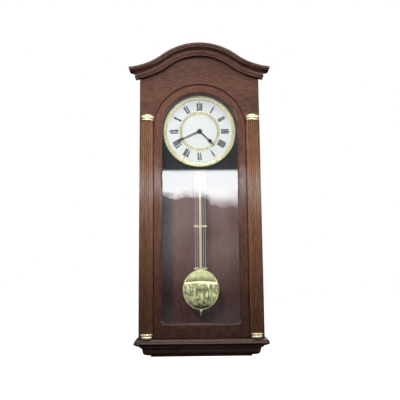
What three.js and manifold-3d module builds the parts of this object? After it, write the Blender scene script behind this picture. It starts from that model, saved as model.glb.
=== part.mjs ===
// Wall clock: an arched glazed door between fluted half columns, a bell-curved crown,
// a moulded base, a round dial with Roman hours and a battery movement that keeps a
// gridiron pendulum swinging.
// Millimetres, +Z up. The clock faces -Y and its rear plane, the wall, is y = 0.
// Sizes below are measured up from the foot of the case and back from the case front.
// The finished group is lowered so that the origin is the seat of the hanger keyhole.

import * as THREE from "three";
import { mergeVertices } from "three/addons/utils/BufferGeometryUtils.js";
import Module from "manifold-3d";

const wasm = await Module();
wasm.setup();

// ---- driving dimensions -------------------------------------------------------------

const GAP = 0.3; // between pieces that touch
const CASE_WIDTH = 308;
const CASE_DEPTH = 140;
const BOARD = 12; // side and bottom boards
const FRAME_THICK = 18; // front frame boards
const HANGER_HEIGHT = 640; // keyhole seat above the foot of the case

const DIAL_HEIGHT = 525; // hand axis, and the centre of every arch
const DIAL_DEPTH = 28; // dial face behind the case front
const BEZEL_RADIUS = 96.4;
const BEZEL_INNER = 84.4;

const DOOR_HALF = 116.8;
const DOOR_FRONT = 3; // door face behind the case front
const DOOR_THICK = 18;
const DOOR_FOOT = 1.5;
const DOOR_OPENING_HALF = 96.5;
const DOOR_OPENING_FOOT = 36;
const DOOR_CORNER = 9; // rounded lower corners of the opening
const OPENING_HALF = 118.8; // opening in the front frame

const COLUMN_X = 135;
const COLUMN_HALF = 15.8;
const COLUMN_REACH = 11; // how far the half columns stand proud
const COLUMN_FOOT = 13.6;
const COLUMN_TOP = 544;
const FLUTES = 7;

const CROWN_PEAK = 746.3;
const CROWN_HUMP_RADIUS = 158; // convex arc over the middle
const CROWN_SWEEP_RADIUS = 170; // concave arcs at the ends
const CROWN_TURN = THREE.MathUtils.degToRad(36.8); // slope where the arcs meet
const CROWN_BAND = 28.5; // height of the moulding, square to the curve
const CROWN_RETURN_END = 2; // its returned ends stop just behind the case front
const ROOF_THICK = 8;

const BASE_HEIGHT = 42;
const BASE_RETURN_END = 35; // its returned ends stop here, behind the case front
const BASE_PLATE_HALF = 126;
const BASE_PLATE_THICK = 4.7;

const PENDULUM_DEPTH = 49.6; // middle of the pendulum strip behind the case front
const PENDULUM_PIVOT = 462;
const BOB_HEIGHT = 114.8;
const BOB_RADIUS = 51.3;
const BOB_OVAL = 0.92; // its width over its height
const CROSSBAR_HEIGHTS = [440, 277.5, 168.1];
const GRID_ROD_OFFSETS = [-13.1, -7.7, 7.7, 13.1];
const BOB_TRAVEL = 2.1; // up or down, by the rating nut

const HOUR_ANGLE = 134.5; // clockwise from twelve, degrees
const MINUTE_ANGLE = 245.5;
const GEAR_MODULE = 0.5;
const GEAR_CENTRES = 10; // both motion-work pairs share it
const HINGE_X = 117.8;
const HINGE_DEPTH = 1.3;
const HINGE_HEIGHTS = { lower: 90, upper: 450 };
const HINGE_LENGTH = 40;

const HALF = CASE_WIDTH / 2;
const yAt = (depth) => depth - CASE_DEPTH;

// ---- materials ------------------------------------------------------------------------

const material = (color, roughness, metalness) =>
  new THREE.MeshStandardMaterial({ color, roughness, metalness });
const mahogany = material(0x4a2a22, 0.35, 0);
const mahoganyDark = material(0x33201b, 0.4, 0);
const plywood = material(0x6b4a34, 0.7, 0);
const brass = material(0xd8b75a, 0.2, 1);
const steel = material(0xb8bcc0, 0.3, 1);
const blackPaint = material(0x0c0c0d, 0.45, 0);
const dialWhite = material(0xeef0f4, 0.5, 0);
const glass = material(0xdfe8ea, 0.05, 0);
const bronze = material(0x2b1c14, 0.45, 1);
const plasticBlack = material(0x151516, 0.5, 0);
const plasticWhite = material(0xe4e2da, 0.5, 0);
const cellCase = material(0x9a6b2c, 0.35, 0.3);

// ---- geometry helpers -------------------------------------------------------------------

// A closed geometry as a solid whose faces point out.
function solid(geometry) {
  const open = geometry.clone();
  open.deleteAttribute("normal");
  open.deleteAttribute("uv");
  const merged = mergeVertices(open, 1e-4);
  const make = (triVerts) => {
    const vertProperties = merged.attributes.position.array;
    return new wasm.Manifold(new wasm.Mesh({ numProp: 3, vertProperties, triVerts }));
  };
  const faces = new Uint32Array(merged.index.array);
  const made = make(faces);
  return made.volume() < 0 ? make(faces.reverse()) : made;
}

const join = (first, ...others) => others.reduce((sum, part) => sum.add(part), first);
const cut = (first, ...others) => others.reduce((rest, part) => rest.subtract(part), first);

function geometryOf(manifold) {
  const mesh = manifold.getMesh();
  const geometry = new THREE.BufferGeometry();
  geometry.setAttribute("position", new THREE.BufferAttribute(mesh.vertProperties, 3));
  geometry.setIndex(new THREE.BufferAttribute(mesh.triVerts, 1));
  const faceted = geometry.toNonIndexed();
  faceted.computeVertexNormals();
  return faceted;
}

// A block from its limits: x, depth behind the case front, height above the foot.
function block([x0, x1], [d0, d1], [z0, z1]) {
  const geometry = new THREE.BoxGeometry(x1 - x0, d1 - d0, z1 - z0);
  geometry.translate((x0 + x1) / 2, yAt((d0 + d1) / 2), (z0 + z1) / 2);
  return solid(geometry);
}

const shapeOf = (points) => new THREE.Shape(points.map(([a, b]) => new THREE.Vector2(a, b)));

// A shape drawn in (x, height), run from one depth to another.
function plateFrom(shape, [d0, d1], curveSegments = 8) {
  const options = { depth: d1 - d0, bevelEnabled: false, curveSegments };
  const geometry = new THREE.ExtrudeGeometry(shape, options);
  geometry.rotateX(Math.PI / 2);
  geometry.translate(0, yAt(d1), 0);
  return solid(geometry);
}

// A shape drawn in (x, -depth), run from one height to another.
function postFrom(shape, [z0, z1]) {
  const geometry = new THREE.ExtrudeGeometry(shape, { depth: z1 - z0, bevelEnabled: false });
  geometry.translate(0, yAt(0), z0);
  return solid(geometry);
}

// A profile of [radius, depth] turned about an axis that runs front to back.
function turnedAlongDepth(profile, x, z, segments) {
  const points = profile.map(([r, d]) => new THREE.Vector2(r, yAt(d)));
  const geometry = new THREE.LatheGeometry(points, segments);
  geometry.translate(x, 0, z);
  return solid(geometry);
}

// A profile of [radius, height] turned about an upright axis.
function turnedUpright(profile, x, depth, segments) {
  const points = profile.map(([r, z]) => new THREE.Vector2(r, z));
  const geometry = new THREE.LatheGeometry(points, segments);
  geometry.rotateX(Math.PI / 2);
  geometry.translate(x, yAt(depth), 0);
  return solid(geometry);
}

const rodAlongDepth = (radius, [d0, d1], x, z, segments = 16) =>
  turnedAlongDepth([[0, d0], [radius, d0], [radius, d1], [0, d1]], x, z, segments);
const rodUpright = (radius, [z0, z1], x, depth, segments = 12) =>
  turnedUpright([[0, z0], [radius, z0], [radius, z1], [0, z1]], x, depth, segments);

// A closed profile carried through a row of rings, each the same profile in its place.
function loft(rings, flatProfile) {
  const count = flatProfile.length;
  const positions = rings.flat().flatMap((point) => [point.x, point.y, point.z]);
  const faces = [];
  for (let ring = 0; ring < rings.length - 1; ring++) {
    for (let i = 0; i < count; i++) {
      const a = ring * count + i;
      const b = ring * count + ((i + 1) % count);
      faces.push(a, b, b + count, a, b + count, a + count);
    }
  }
  const contour = flatProfile.map(([a, b]) => new THREE.Vector2(a, b));
  const contourTurn = Math.sign(THREE.ShapeUtils.area(contour));
  const last = (rings.length - 1) * count;
  for (const face of THREE.ShapeUtils.triangulateShape(contour, [])) {
    const turn = Math.sign(THREE.ShapeUtils.area(face.map((i) => contour[i])));
    const [a, b, c] = turn === contourTurn ? face : [...face].reverse();
    faces.push(a, c, b, last + a, last + b, last + c);
  }
  const geometry = new THREE.BufferGeometry();
  geometry.setAttribute("position", new THREE.Float32BufferAttribute(positions, 3));
  geometry.setIndex(faces);
  return solid(geometry);
}

// ---- the group ------------------------------------------------------------------------------

const clock = new THREE.Group();
clock.position.z = -HANGER_HEIGHT;

function add(name, body, look) {
  const mesh = new THREE.Mesh(geometryOf(body), look);
  mesh.name = name;
  clock.add(mesh);
}

const SIDES = [
  ["left", -1],
  ["right", 1],
];
// A pair of limits on the given side of the middle plane, in rising order.
const onSide = (side, a, b) => (side < 0 ? [-b, -a] : [a, b]);

// ---- crown curve --------------------------------------------------------------------------------

const HUMP_END = CROWN_HUMP_RADIUS * Math.sin(CROWN_TURN);
const SWEEP_CENTRE_X = (CROWN_HUMP_RADIUS + CROWN_SWEEP_RADIUS) * Math.sin(CROWN_TURN);
const HUMP_CENTRE_Z = CROWN_PEAK - CROWN_HUMP_RADIUS;
const SWEEP_CENTRE_Z =
  HUMP_CENTRE_Z + (CROWN_HUMP_RADIUS + CROWN_SWEEP_RADIUS) * Math.cos(CROWN_TURN);

// The crown's top line, lowered square to itself by inset, from -end to +end.
function crownLine(inset, end, humpSteps = 14, sweepSteps = 7) {
  const sweepRadius = CROWN_SWEEP_RADIUS + inset;
  const endSlope = Math.asin((SWEEP_CENTRE_X - end) / sweepRadius);
  const right = [];
  for (let i = 0; i <= humpSteps / 2; i++) {
    const slope = (CROWN_TURN * i) / (humpSteps / 2);
    const radius = CROWN_HUMP_RADIUS - inset;
    right.push([radius * Math.sin(slope), HUMP_CENTRE_Z + radius * Math.cos(slope)]);
  }
  for (let i = 1; i <= sweepSteps; i++) {
    const slope = CROWN_TURN + ((endSlope - CROWN_TURN) * i) / sweepSteps;
    const x = SWEEP_CENTRE_X - sweepRadius * Math.sin(slope);
    right.push([x, SWEEP_CENTRE_Z - sweepRadius * Math.cos(slope)]);
  }
  const left = right
    .slice(1)
    .reverse()
    .map(([x, z]) => [-x, z]);
  return [...left, ...right];
}

// ---- case boards ----------------------------------------------------------------------------------

const REAR = CASE_DEPTH;
const BACK_FRONT = REAR - 10; // back panel sits inside the sides
const BACK_REAR = REAR - 6;
const INNER_HALF = HALF - BOARD;
const ACCESS = { half: 62, low: 452, high: 592 }; // hole behind the movement
const KEYHOLE = { head: 5, slot: 2.4, drop: 12 };

// A board outline with a level foot and a top that follows the crown.
function archedPanel(half, foot, inset) {
  const top = crownLine(inset, half);
  return shapeOf([[half, foot], ...top.slice().reverse(), [-half, foot]]);
}

function makeCase() {
  for (const [name, side] of SIDES) {
    const top = crownLine(ROOF_THICK, HALF)[0][1] - GAP;
    const limits = onSide(side, INNER_HALF, HALF);
    const panel = block(limits, [FRAME_THICK + GAP, REAR], [0, top]);
    add(`${name}_side_panel`, panel, mahogany);
  }
  const inner = INNER_HALF - GAP;
  const floor = block([-inner, inner], [DOOR_FRONT + DOOR_THICK + 1, REAR], [0, BOARD]);
  add("bottom_board", floor, mahoganyDark);

  const line = crownLine(0.5, HALF - GAP);
  const under = crownLine(ROOF_THICK, HALF - GAP);
  const roof = plateFrom(shapeOf([...line, ...under.slice().reverse()]), [
    FRAME_THICK + GAP,
    REAR - GAP,
  ]);
  add("roof_board", roof, mahogany);

  const back = plateFrom(archedPanel(inner, BOARD + GAP, ROOF_THICK + 0.5), [BACK_FRONT, BACK_REAR]);
  const hole = block([-ACCESS.half, ACCESS.half], [BACK_FRONT - 5, REAR], [ACCESS.low, ACCESS.high]);
  const screwRoom = KEYHOLE.head + 5;
  const roomHeight = HANGER_HEIGHT - 5;
  const headRoom = rodAlongDepth(screwRoom, [BACK_FRONT - 5, REAR], 0, roomHeight, 20);
  add("back_panel", join(cut(back, hole, headRoom), ...makePanelRails()), plywood);

  const railFront = BACK_FRONT - GAP - FRAME_THICK;
  const railHeights = [HANGER_HEIGHT - 24, HANGER_HEIGHT + 24];
  const rail = block([-inner, inner], [railFront, BACK_FRONT - GAP], railHeights);
  const railRoom = rodAlongDepth(screwRoom, [railFront + 4, REAR], 0, roomHeight, 20);
  add("hanging_rail", cut(rail, railRoom), plywood);
}

function makeHanger() {
  const front = BACK_REAR + GAP;
  const plate = block([-21, 21], [front, front + 1.6], [HANGER_HEIGHT - 19, HANGER_HEIGHT + 11]);
  const span = [front - 1, front + 3];
  const head = rodAlongDepth(KEYHOLE.head, span, 0, HANGER_HEIGHT - KEYHOLE.drop, 20);
  const top = rodAlongDepth(KEYHOLE.slot, span, 0, HANGER_HEIGHT - KEYHOLE.slot, 16);
  const slotHeights = [HANGER_HEIGHT - KEYHOLE.drop, HANGER_HEIGHT - KEYHOLE.slot];
  const slot = block([-KEYHOLE.slot, KEYHOLE.slot], span, slotHeights);
  add("hanger_plate", cut(plate, head, top, slot), steel);
}

const ACCESS_PANEL = { half: ACCESS.half + 6, low: ACCESS.low - 6, high: ACCESS.high + 6 };

// Two hooked rails on the rear of the back panel, above and below the access panel, which
// slides sideways between them.
function makePanelRails() {
  const { half, low, high } = ACCESS_PANEL;
  const length = [-half, INNER_HALF - GAP - 1];
  const rear = REAR - 0.8;
  const footSpan = [BACK_REAR - 1, rear];
  const lipSpan = [BACK_REAR + 3.8, rear];
  const clear = 0.6; // above and below the sliding panel
  const width = 9;
  const cover = 5; // how far the lip reaches over the panel
  const lower = join(
    block(length, footSpan, [low - width, low - clear]),
    block(length, lipSpan, [low - width, low + cover]),
  );
  const upper = join(
    block(length, footSpan, [high + clear, high + width]),
    block(length, lipSpan, [high - cover, high + width]),
  );
  return [lower, upper];
}

function makeAccessPanel() {
  const { half, low, high } = ACCESS_PANEL;
  const front = BACK_REAR + GAP;
  add("access_panel", block([-half, half], [front, front + 3], [low, high]), plywood);
}

function makeFrontFrame() {
  const joint = COLUMN_TOP + GAP; // behind the capitals
  const top = crownLine(0.5, HALF);
  const archEnd = Math.acos((joint - DIAL_HEIGHT) / OPENING_HALF);
  const shape = new THREE.Shape();
  shape.moveTo(HALF, joint);
  for (const [x, z] of top.slice().reverse()) shape.lineTo(x, z);
  shape.lineTo(-HALF, joint);
  const arcSteps = 32;
  for (let i = 0; i <= arcSteps; i++) {
    const angle = -archEnd + (2 * archEnd * i) / arcSteps;
    const z = DIAL_HEIGHT + OPENING_HALF * Math.cos(angle);
    shape.lineTo(OPENING_HALF * Math.sin(angle), z);
  }
  add("frieze_board", plateFrom(shape, [0, FRAME_THICK]), mahogany);

  for (const [name, side] of SIDES) {
    let stile = block(onSide(side, OPENING_HALF, HALF), [0, FRAME_THICK], [0, joint - GAP]);
    if (side > 0) {
      for (const z of Object.values(HINGE_HEIGHTS)) {
        const reach = HINGE_LENGTH / 2 + 0.5;
        stile = cut(stile, block([117, 119.8], [-1, 14.5], [z - reach, z + reach]));
      }
    }
    add(`${name}_stile`, stile, mahogany);
  }
}

// ---- columns ------------------------------------------------------------------------------------

// The fluted outline of a half column, drawn in (x, -depth).
function flutedOutline() {
  const points = [];
  const fluteDepth = 1.5;
  const stepsPerFlute = 4;
  const total = FLUTES * stepsPerFlute;
  for (let i = 0; i <= total; i++) {
    const angle = Math.PI * (0.06 + (0.88 * i) / total);
    const groove = Math.sin((Math.PI * (i % stepsPerFlute)) / stepsPerFlute);
    const scale = 1 - (fluteDepth * groove) / COLUMN_HALF;
    points.push([COLUMN_HALF * Math.cos(angle) * scale, -COLUMN_REACH * Math.sin(angle) * scale]);
  }
  return [[COLUMN_HALF, -GAP], ...points, [-COLUMN_HALF, -GAP]];
}

// A turned collar flattened front to back and cut off flush behind.
function halfCollar(profile, x, z) {
  const whole = turnedUpright(profile.map(([r, h]) => [r, z + h]), 0, 0, 32);
  const squashed = whole
    .translate([0, -yAt(0), 0])
    .scale([1, 0.74, 1])
    .translate([x, yAt(0), 0]);
  return cut(squashed, block([x - 40, x + 40], [-GAP, 60], [z - 5, z + 40]));
}

function makeColumns() {
  const capital = [
    [0, 0.3],
    [17.4, 0.3],
    [18, 2.4],
    [17.4, 5],
    [16.8, 5.8],
    [18.1, 8],
    [18.3, 11],
    [17.2, 14.6],
    [14.4, 16.7],
    [0, 16.7],
  ];
  const foot = [
    [0, 0],
    [15.6, 0],
    [16, 3],
    [15.2, 5.6],
    [15, 6.4],
    [16.8, 7.6],
    [17.4, 9.6],
    [16.8, 11.8],
    [14.8, 13],
    [0, 13],
  ];
  for (const [name, side] of SIDES) {
    const x = side * COLUMN_X;
    const outline = shapeOf(flutedOutline().map(([a, b]) => [a + x, b]));
    const column = postFrom(outline, [COLUMN_FOOT, COLUMN_TOP]);
    add(`${name}_column`, column, mahogany);
    add(`${name}_capital`, halfCollar(capital, x, COLUMN_TOP), brass);
    add(`${name}_column_base`, halfCollar(foot, x, 0.2), brass);
  }
}

// ---- crown and base mouldings ---------------------------------------------------------------------

// Crown section: [reach out from the case, distance below the top line].
const CROWN_PROFILE = [
  [GAP, 0],
  [25.4, 0],
  [26.4, 1],
  [26.2, 4],
  [24.4, 7.6],
  [22.6, 8.2],
  [21.4, 10],
  [17, 12],
  [13, 15],
  [11, 18.4],
  [10.4, 20.4],
  [11.4, 21.4],
  [10.8, 23.4],
  [10, 24.4],
  [10, CROWN_BAND],
  [GAP, CROWN_BAND],
];

// Base section: [reach out from the case, height].
const BASE_PROFILE = [
  [-34, -GAP],
  [3.5, -GAP],
  [6.5, -2],
  [9, -5.2],
  [10.7, -9],
  [11, -11.2],
  [10, -13],
  [6, -15.6],
  [1.5, -17.8],
  [-2, -19.2],
  [-2, -21.6],
  [-6, -24],
  [-8.3, -28],
  [-9, -33],
  [-11, -37.5],
  [-15, -41],
  [-19, -BASE_HEIGHT],
  [-34, -BASE_HEIGHT],
];
const MITRE_GAP = 0.2;

function makeCrown() {
  const lines = CROWN_PROFILE.map(([reach, inset]) => crownLine(inset, HALF + reach - MITRE_GAP));
  const rings = lines[0].map((_, station) =>
    CROWN_PROFILE.map(([reach], i) => {
      const [x, z] = lines[i][station];
      return new THREE.Vector3(x, yAt(-reach), z);
    }),
  );
  add("crown_moulding", loft(rings, CROWN_PROFILE), mahogany);

  for (const [name, side] of SIDES) {
    const ringAt = (yOf) =>
      CROWN_PROFILE.map(([reach, inset]) => {
        const ends = crownLine(inset, HALF + reach);
        return new THREE.Vector3(side * (HALF + reach), yOf(reach), ends[ends.length - 1][1]);
      });
    const mitre = ringAt((reach) => yAt(-reach) + MITRE_GAP);
    add(`crown_return_${name}`, loft([mitre, ringAt(() => yAt(CROWN_RETURN_END))], CROWN_PROFILE), mahogany);
  }
}

function makeBase() {
  const frontEnd = (side) =>
    BASE_PROFILE.map(([reach, z]) => {
      const x = side * (HALF + reach - MITRE_GAP);
      return new THREE.Vector3(x, yAt(-reach), z);
    });
  add("base_moulding", loft([frontEnd(-1), frontEnd(1)], BASE_PROFILE), mahogany);

  for (const [name, side] of SIDES) {
    const ringAt = (yOf) =>
      BASE_PROFILE.map(([reach, z]) => new THREE.Vector3(side * (HALF + reach), yOf(reach), z));
    const mitre = ringAt((reach) => yAt(-reach) + MITRE_GAP);
    add(`base_return_${name}`, loft([mitre, ringAt(() => yAt(BASE_RETURN_END))], BASE_PROFILE), mahogany);
  }
  const top = -BASE_HEIGHT - GAP;
  const limits = [-BASE_PLATE_HALF, BASE_PLATE_HALF];
  const rear = REAR - 0.5;
  const plate = block(limits, [HALF - BASE_PLATE_HALF, rear], [top - BASE_PLATE_THICK, top]);
  // Behind the moulding a plain open box closes the space under the case.
  const wall = 8;
  const front = BASE_RETURN_END + GAP;
  const box = block(limits, [front, rear], [top - 1, -0.5]);
  const insideHalf = BASE_PLATE_HALF - wall;
  const room = block([-insideHalf, insideHalf], [front + wall, rear - wall], [top, 0]);
  add("base_plate", cut(join(plate, box), room), mahoganyDark);
}

// ---- door -------------------------------------------------------------------------------------------

// A round-headed outline about the dial centre, with rounded lower corners.
function roundHeaded(half, foot, corner) {
  const shape = new THREE.Shape();
  shape.moveTo(half, DIAL_HEIGHT);
  shape.absarc(0, DIAL_HEIGHT, half, 0, Math.PI, false);
  shape.lineTo(-half, foot + corner);
  if (corner > 0) shape.absarc(-half + corner, foot + corner, corner, Math.PI, 1.5 * Math.PI, false);
  shape.lineTo(half - corner, foot);
  if (corner > 0) shape.absarc(half - corner, foot + corner, corner, 1.5 * Math.PI, 2 * Math.PI, false);
  return shape;
}

const DOOR_BACK = DOOR_FRONT + DOOR_THICK;
const REBATE = 5; // ledge that holds the glass
const GLASS_FRONT = 11.8;
const GLASS_THICK = 3;

function makeDoor() {
  const steps = 16;
  const outer = plateFrom(roundHeaded(DOOR_HALF, DOOR_FOOT, 0), [DOOR_FRONT, DOOR_BACK], steps);
  const through = [DOOR_FRONT - 1, DOOR_BACK + 1];
  const opening = roundHeaded(DOOR_OPENING_HALF, DOOR_OPENING_FOOT, DOOR_CORNER);
  const ledge = roundHeaded(DOOR_OPENING_HALF + REBATE, DOOR_OPENING_FOOT - REBATE, 3);
  const rebate = plateFrom(ledge, [GLASS_FRONT - GAP, DOOR_BACK + 1], steps);
  let frame = cut(outer, plateFrom(opening, through, steps), rebate);
  for (const z of Object.values(HINGE_HEIGHTS)) {
    const reach = HINGE_LENGTH / 2 + 0.5;
    frame = cut(frame, block([115.9, 118], [DOOR_FRONT - 1, 14.5], [z - reach, z + reach]));
  }
  const shoulder = DOOR_OPENING_HALF;
  const seam = 0.1;
  const spring = DIAL_HEIGHT - seam;
  for (const [name, side] of SIDES) {
    const region = block(onSide(side, shoulder, 130), through, [0, spring]);
    add(`door_${name}_stile`, frame.intersect(region), mahogany);
  }
  const arch = block([-130, 130], through, [DIAL_HEIGHT + seam, 700]);
  add("door_arch_rail", frame.intersect(arch), mahogany);
  const inside = shoulder - 2 * seam;
  const foot = block([-inside, inside], through, [0, 100]);
  add("door_bottom_rail", frame.intersect(foot), mahogany);

  const paneEdge = REBATE - 0.5;
  const pane = roundHeaded(DOOR_OPENING_HALF + paneEdge, DOOR_OPENING_FOOT - paneEdge, 2.5);
  const paneSpan = [GLASS_FRONT, GLASS_FRONT + GLASS_THICK];
  add("door_glass", plateFrom(pane, paneSpan, steps), glass);

  const beadSpan = [GLASS_FRONT + GLASS_THICK + GAP, GLASS_FRONT + GLASS_THICK + GAP + 4];
  const bead = plateFrom(pane, beadSpan, steps);
  const beadHole = roundHeaded(DOOR_OPENING_HALF + 0.5, DOOR_OPENING_FOOT - 0.5, DOOR_CORNER);
  add("glass_retainer", cut(bead, plateFrom(beadHole, through, steps)), plasticBlack);
}

// A butt hinge: the case leaf carries the pin and the two outer knuckles.
function makeHinges() {
  const barrel = 1.7;
  const pin = 0.8;
  for (const [name, middle] of Object.entries(HINGE_HEIGHTS)) {
    const low = middle - HINGE_LENGTH / 2;
    const third = HINGE_LENGTH / 3;
    const knuckle = (radius, z0, z1) => rodUpright(radius, [z0, z1], HINGE_X, HINGE_DEPTH, 14);
    const clear = 0.25;

    const caseLeaf = block([118.4, 119.4], [HINGE_DEPTH, 14], [low, low + HINGE_LENGTH]);
    const doorRoom = knuckle(barrel + clear, low + third, low + 2 * third);
    const fixed = join(
      cut(caseLeaf, doorRoom),
      knuckle(barrel, low, low + third - clear),
      knuckle(barrel, low + 2 * third + clear, low + HINGE_LENGTH),
      knuckle(pin, low, low + HINGE_LENGTH),
    );
    add(`${name}_hinge_case_leaf`, fixed, bronze);

    const doorLeaf = block([116.2, 117.2], [HINGE_DEPTH, 14], [low, low + HINGE_LENGTH]);
    const rooms = [
      knuckle(barrel + clear, low - 1, low + third),
      knuckle(barrel + clear, low + 2 * third, low + HINGE_LENGTH + 1),
    ];
    const middleKnuckle = knuckle(barrel, low + third + clear, low + 2 * third - clear);
    const moving = cut(join(cut(doorLeaf, ...rooms), middleKnuckle), knuckle(pin + 0.08, low - 1, low + 50));
    add(`${name}_hinge_door_leaf`, moving, bronze);
  }
}

// A magnet on the left stile reaches behind the door, where a strike plate meets it.
function makeCatch() {
  const middle = 265;
  const heights = [middle - 12, middle + 12];
  const outer = -INNER_HALF + 8;
  const strikeRear = DOOR_BACK + GAP + 1;
  const armFront = strikeRear + 0.5;
  const foot = block([outer, outer + 14], [FRAME_THICK + GAP, armFront + 1.2], heights);
  const arm = block([outer, outer + 28], [armFront, armFront + 10.2], heights);
  add("magnet_catch", join(foot, arm), plasticBlack);
  const strikeHeights = [middle - 15, middle + 15];
  add("strike_plate", block([-115, -107], [DOOR_BACK + GAP, strikeRear], strikeHeights), steel);
}

// ---- dial and hands -----------------------------------------------------------------------------------

function makeDial() {
  const boardHalf = INNER_HALF - 1;
  const boardHeights = [DIAL_HEIGHT - 103, DIAL_HEIGHT + 135];
  const board = block([-boardHalf, boardHalf], [DIAL_DEPTH + 2, DIAL_DEPTH + 8], boardHeights);
  const bushRoom = rodAlongDepth(5.4, [DIAL_DEPTH - 1, DIAL_DEPTH + 9], 0, DIAL_HEIGHT, 20);
  add("dial_board", cut(board, bushRoom), blackPaint);

  const plateRadius = BEZEL_RADIUS - 2.4;
  const plate = rodAlongDepth(plateRadius, [DIAL_DEPTH, DIAL_DEPTH + 1], 0, DIAL_HEIGHT, 48);
  add("dial_plate", cut(plate, bushRoom), dialWhite);

  // Polished bezel: a rounded roll that falls inward to the dial in a step.
  const bezel = [
    [BEZEL_RADIUS - 1, 29.7],
    [BEZEL_RADIUS, 28.5],
    [BEZEL_RADIUS, 25.6],
    [BEZEL_RADIUS - 1, 23.8],
    [BEZEL_RADIUS - 2.6, 23],
    [BEZEL_RADIUS - 4.6, 23.5],
    [BEZEL_RADIUS - 6, 25],
    [BEZEL_RADIUS - 7.6, 25.4],
    [BEZEL_INNER, 27.1],
    [BEZEL_INNER, 27.7],
    [BEZEL_RADIUS - 1.5, 27.7],
    [BEZEL_RADIUS - 1.5, 29.7],
    [BEZEL_RADIUS - 1, 29.7],
  ];
  add("dial_bezel", turnedAlongDepth(bezel, 0, DIAL_HEIGHT, 48), brass);

  const ring = [
    [45.2, 27.8],
    [45.2, 27.2],
    [46.8, 27],
    [48, 27.4],
    [50.2, 27.4],
    [51.4, 27],
    [53, 27.2],
    [53, 27.8],
    [45.2, 27.8],
  ];
  add("dial_centre_ring", turnedAlongDepth(ring, 0, DIAL_HEIGHT, 40), brass);
}

// A hand outline of [distance from the hub, half width], mirrored about its middle line.
function handPlate(outline, hub, angleDegrees, depths, hole) {
  const one = outline.map(([along, half]) => [half, along]);
  const other = outline
    .slice()
    .reverse()
    .map(([along, half]) => [-half, along]);
  const turn = (points, degrees) => {
    const angle = THREE.MathUtils.degToRad(degrees);
    return points.map(([x, z]) => [
      x * Math.cos(angle) + z * Math.sin(angle),
      DIAL_HEIGHT + z * Math.cos(angle) - x * Math.sin(angle),
    ]);
  };
  const blade = plateFrom(shapeOf(turn([...one, ...other], angleDegrees)), depths);
  const boss = rodAlongDepth(hub, depths, 0, DIAL_HEIGHT, 24);
  const whole = join(blade, boss);
  if (!hole) return whole;
  return cut(whole, rodAlongDepth(hole, [depths[0] - 1, depths[1] + 1], 0, DIAL_HEIGHT, 20));
}

const HOUR_OUTLINE = [
  [-4, 1.8],
  [0, 2.2],
  [24, 1.6],
  [31, 1.5],
  [34, 3.4],
  [38, 5],
  [41.5, 4],
  [43.5, 1.8],
  [46, 1.3],
  [56, 0.35],
];
const MINUTE_OUTLINE = [
  [-4, 1.5],
  [0, 1.9],
  [40, 1.3],
  [46, 1.2],
  [49, 2.8],
  [53, 4],
  [56.5, 3],
  [58.5, 1.4],
  [61, 1.1],
  [76, 0.3],
];

function makeHands() {
  add("hour_hand", handPlate(HOUR_OUTLINE, 6.2, HOUR_ANGLE, [24.2, 25], 2.2), blackPaint);
  add("minute_hand", handPlate(MINUTE_OUTLINE, 5.4, MINUTE_ANGLE, [22.2, 22.9], 0), blackPaint);
  const nut = [
    [0, 21.9],
    [3, 21.9],
    [3, 20.6],
    [1.8, 19.6],
    [0, 19.4],
  ];
  add("hand_nut", turnedAlongDepth(nut, 0, DIAL_HEIGHT, 16), blackPaint);
}

// ---- movement ---------------------------------------------------------------------------------------------

// bay is the foot of the battery bay, in the top of the housing.
const HOUSING = { half: 30, low: 470, bay: 534, high: 556, front: 36.4, rear: 57, wall: 2 };
const BUSH_FRONT = 26.2; // the threaded bush ends just ahead of the dial
const WHEEL_X = 0;
const WHEEL_Z = DIAL_HEIGHT - GEAR_CENTRES;

// A spur gear outline: slim straight-sided teeth, the first one at firstAngle.
function gearShape(teeth, x, z, firstAngle) {
  const pitch = (teeth * GEAR_MODULE) / 2;
  const tip = pitch + 0.85 * GEAR_MODULE;
  const root = pitch - 1.15 * GEAR_MODULE;
  const step = (2 * Math.PI) / teeth;
  const points = [];
  for (let tooth = 0; tooth < teeth; tooth++) {
    const middle = firstAngle + tooth * step;
    const corners = [
      [root, -0.25],
      [tip, -0.09],
      [tip, 0.09],
      [root, 0.25],
    ];
    for (const [radius, share] of corners) {
      const angle = middle + share * step;
      points.push([x + radius * Math.cos(angle), z + radius * Math.sin(angle)]);
    }
  }
  return shapeOf(points);
}

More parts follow.
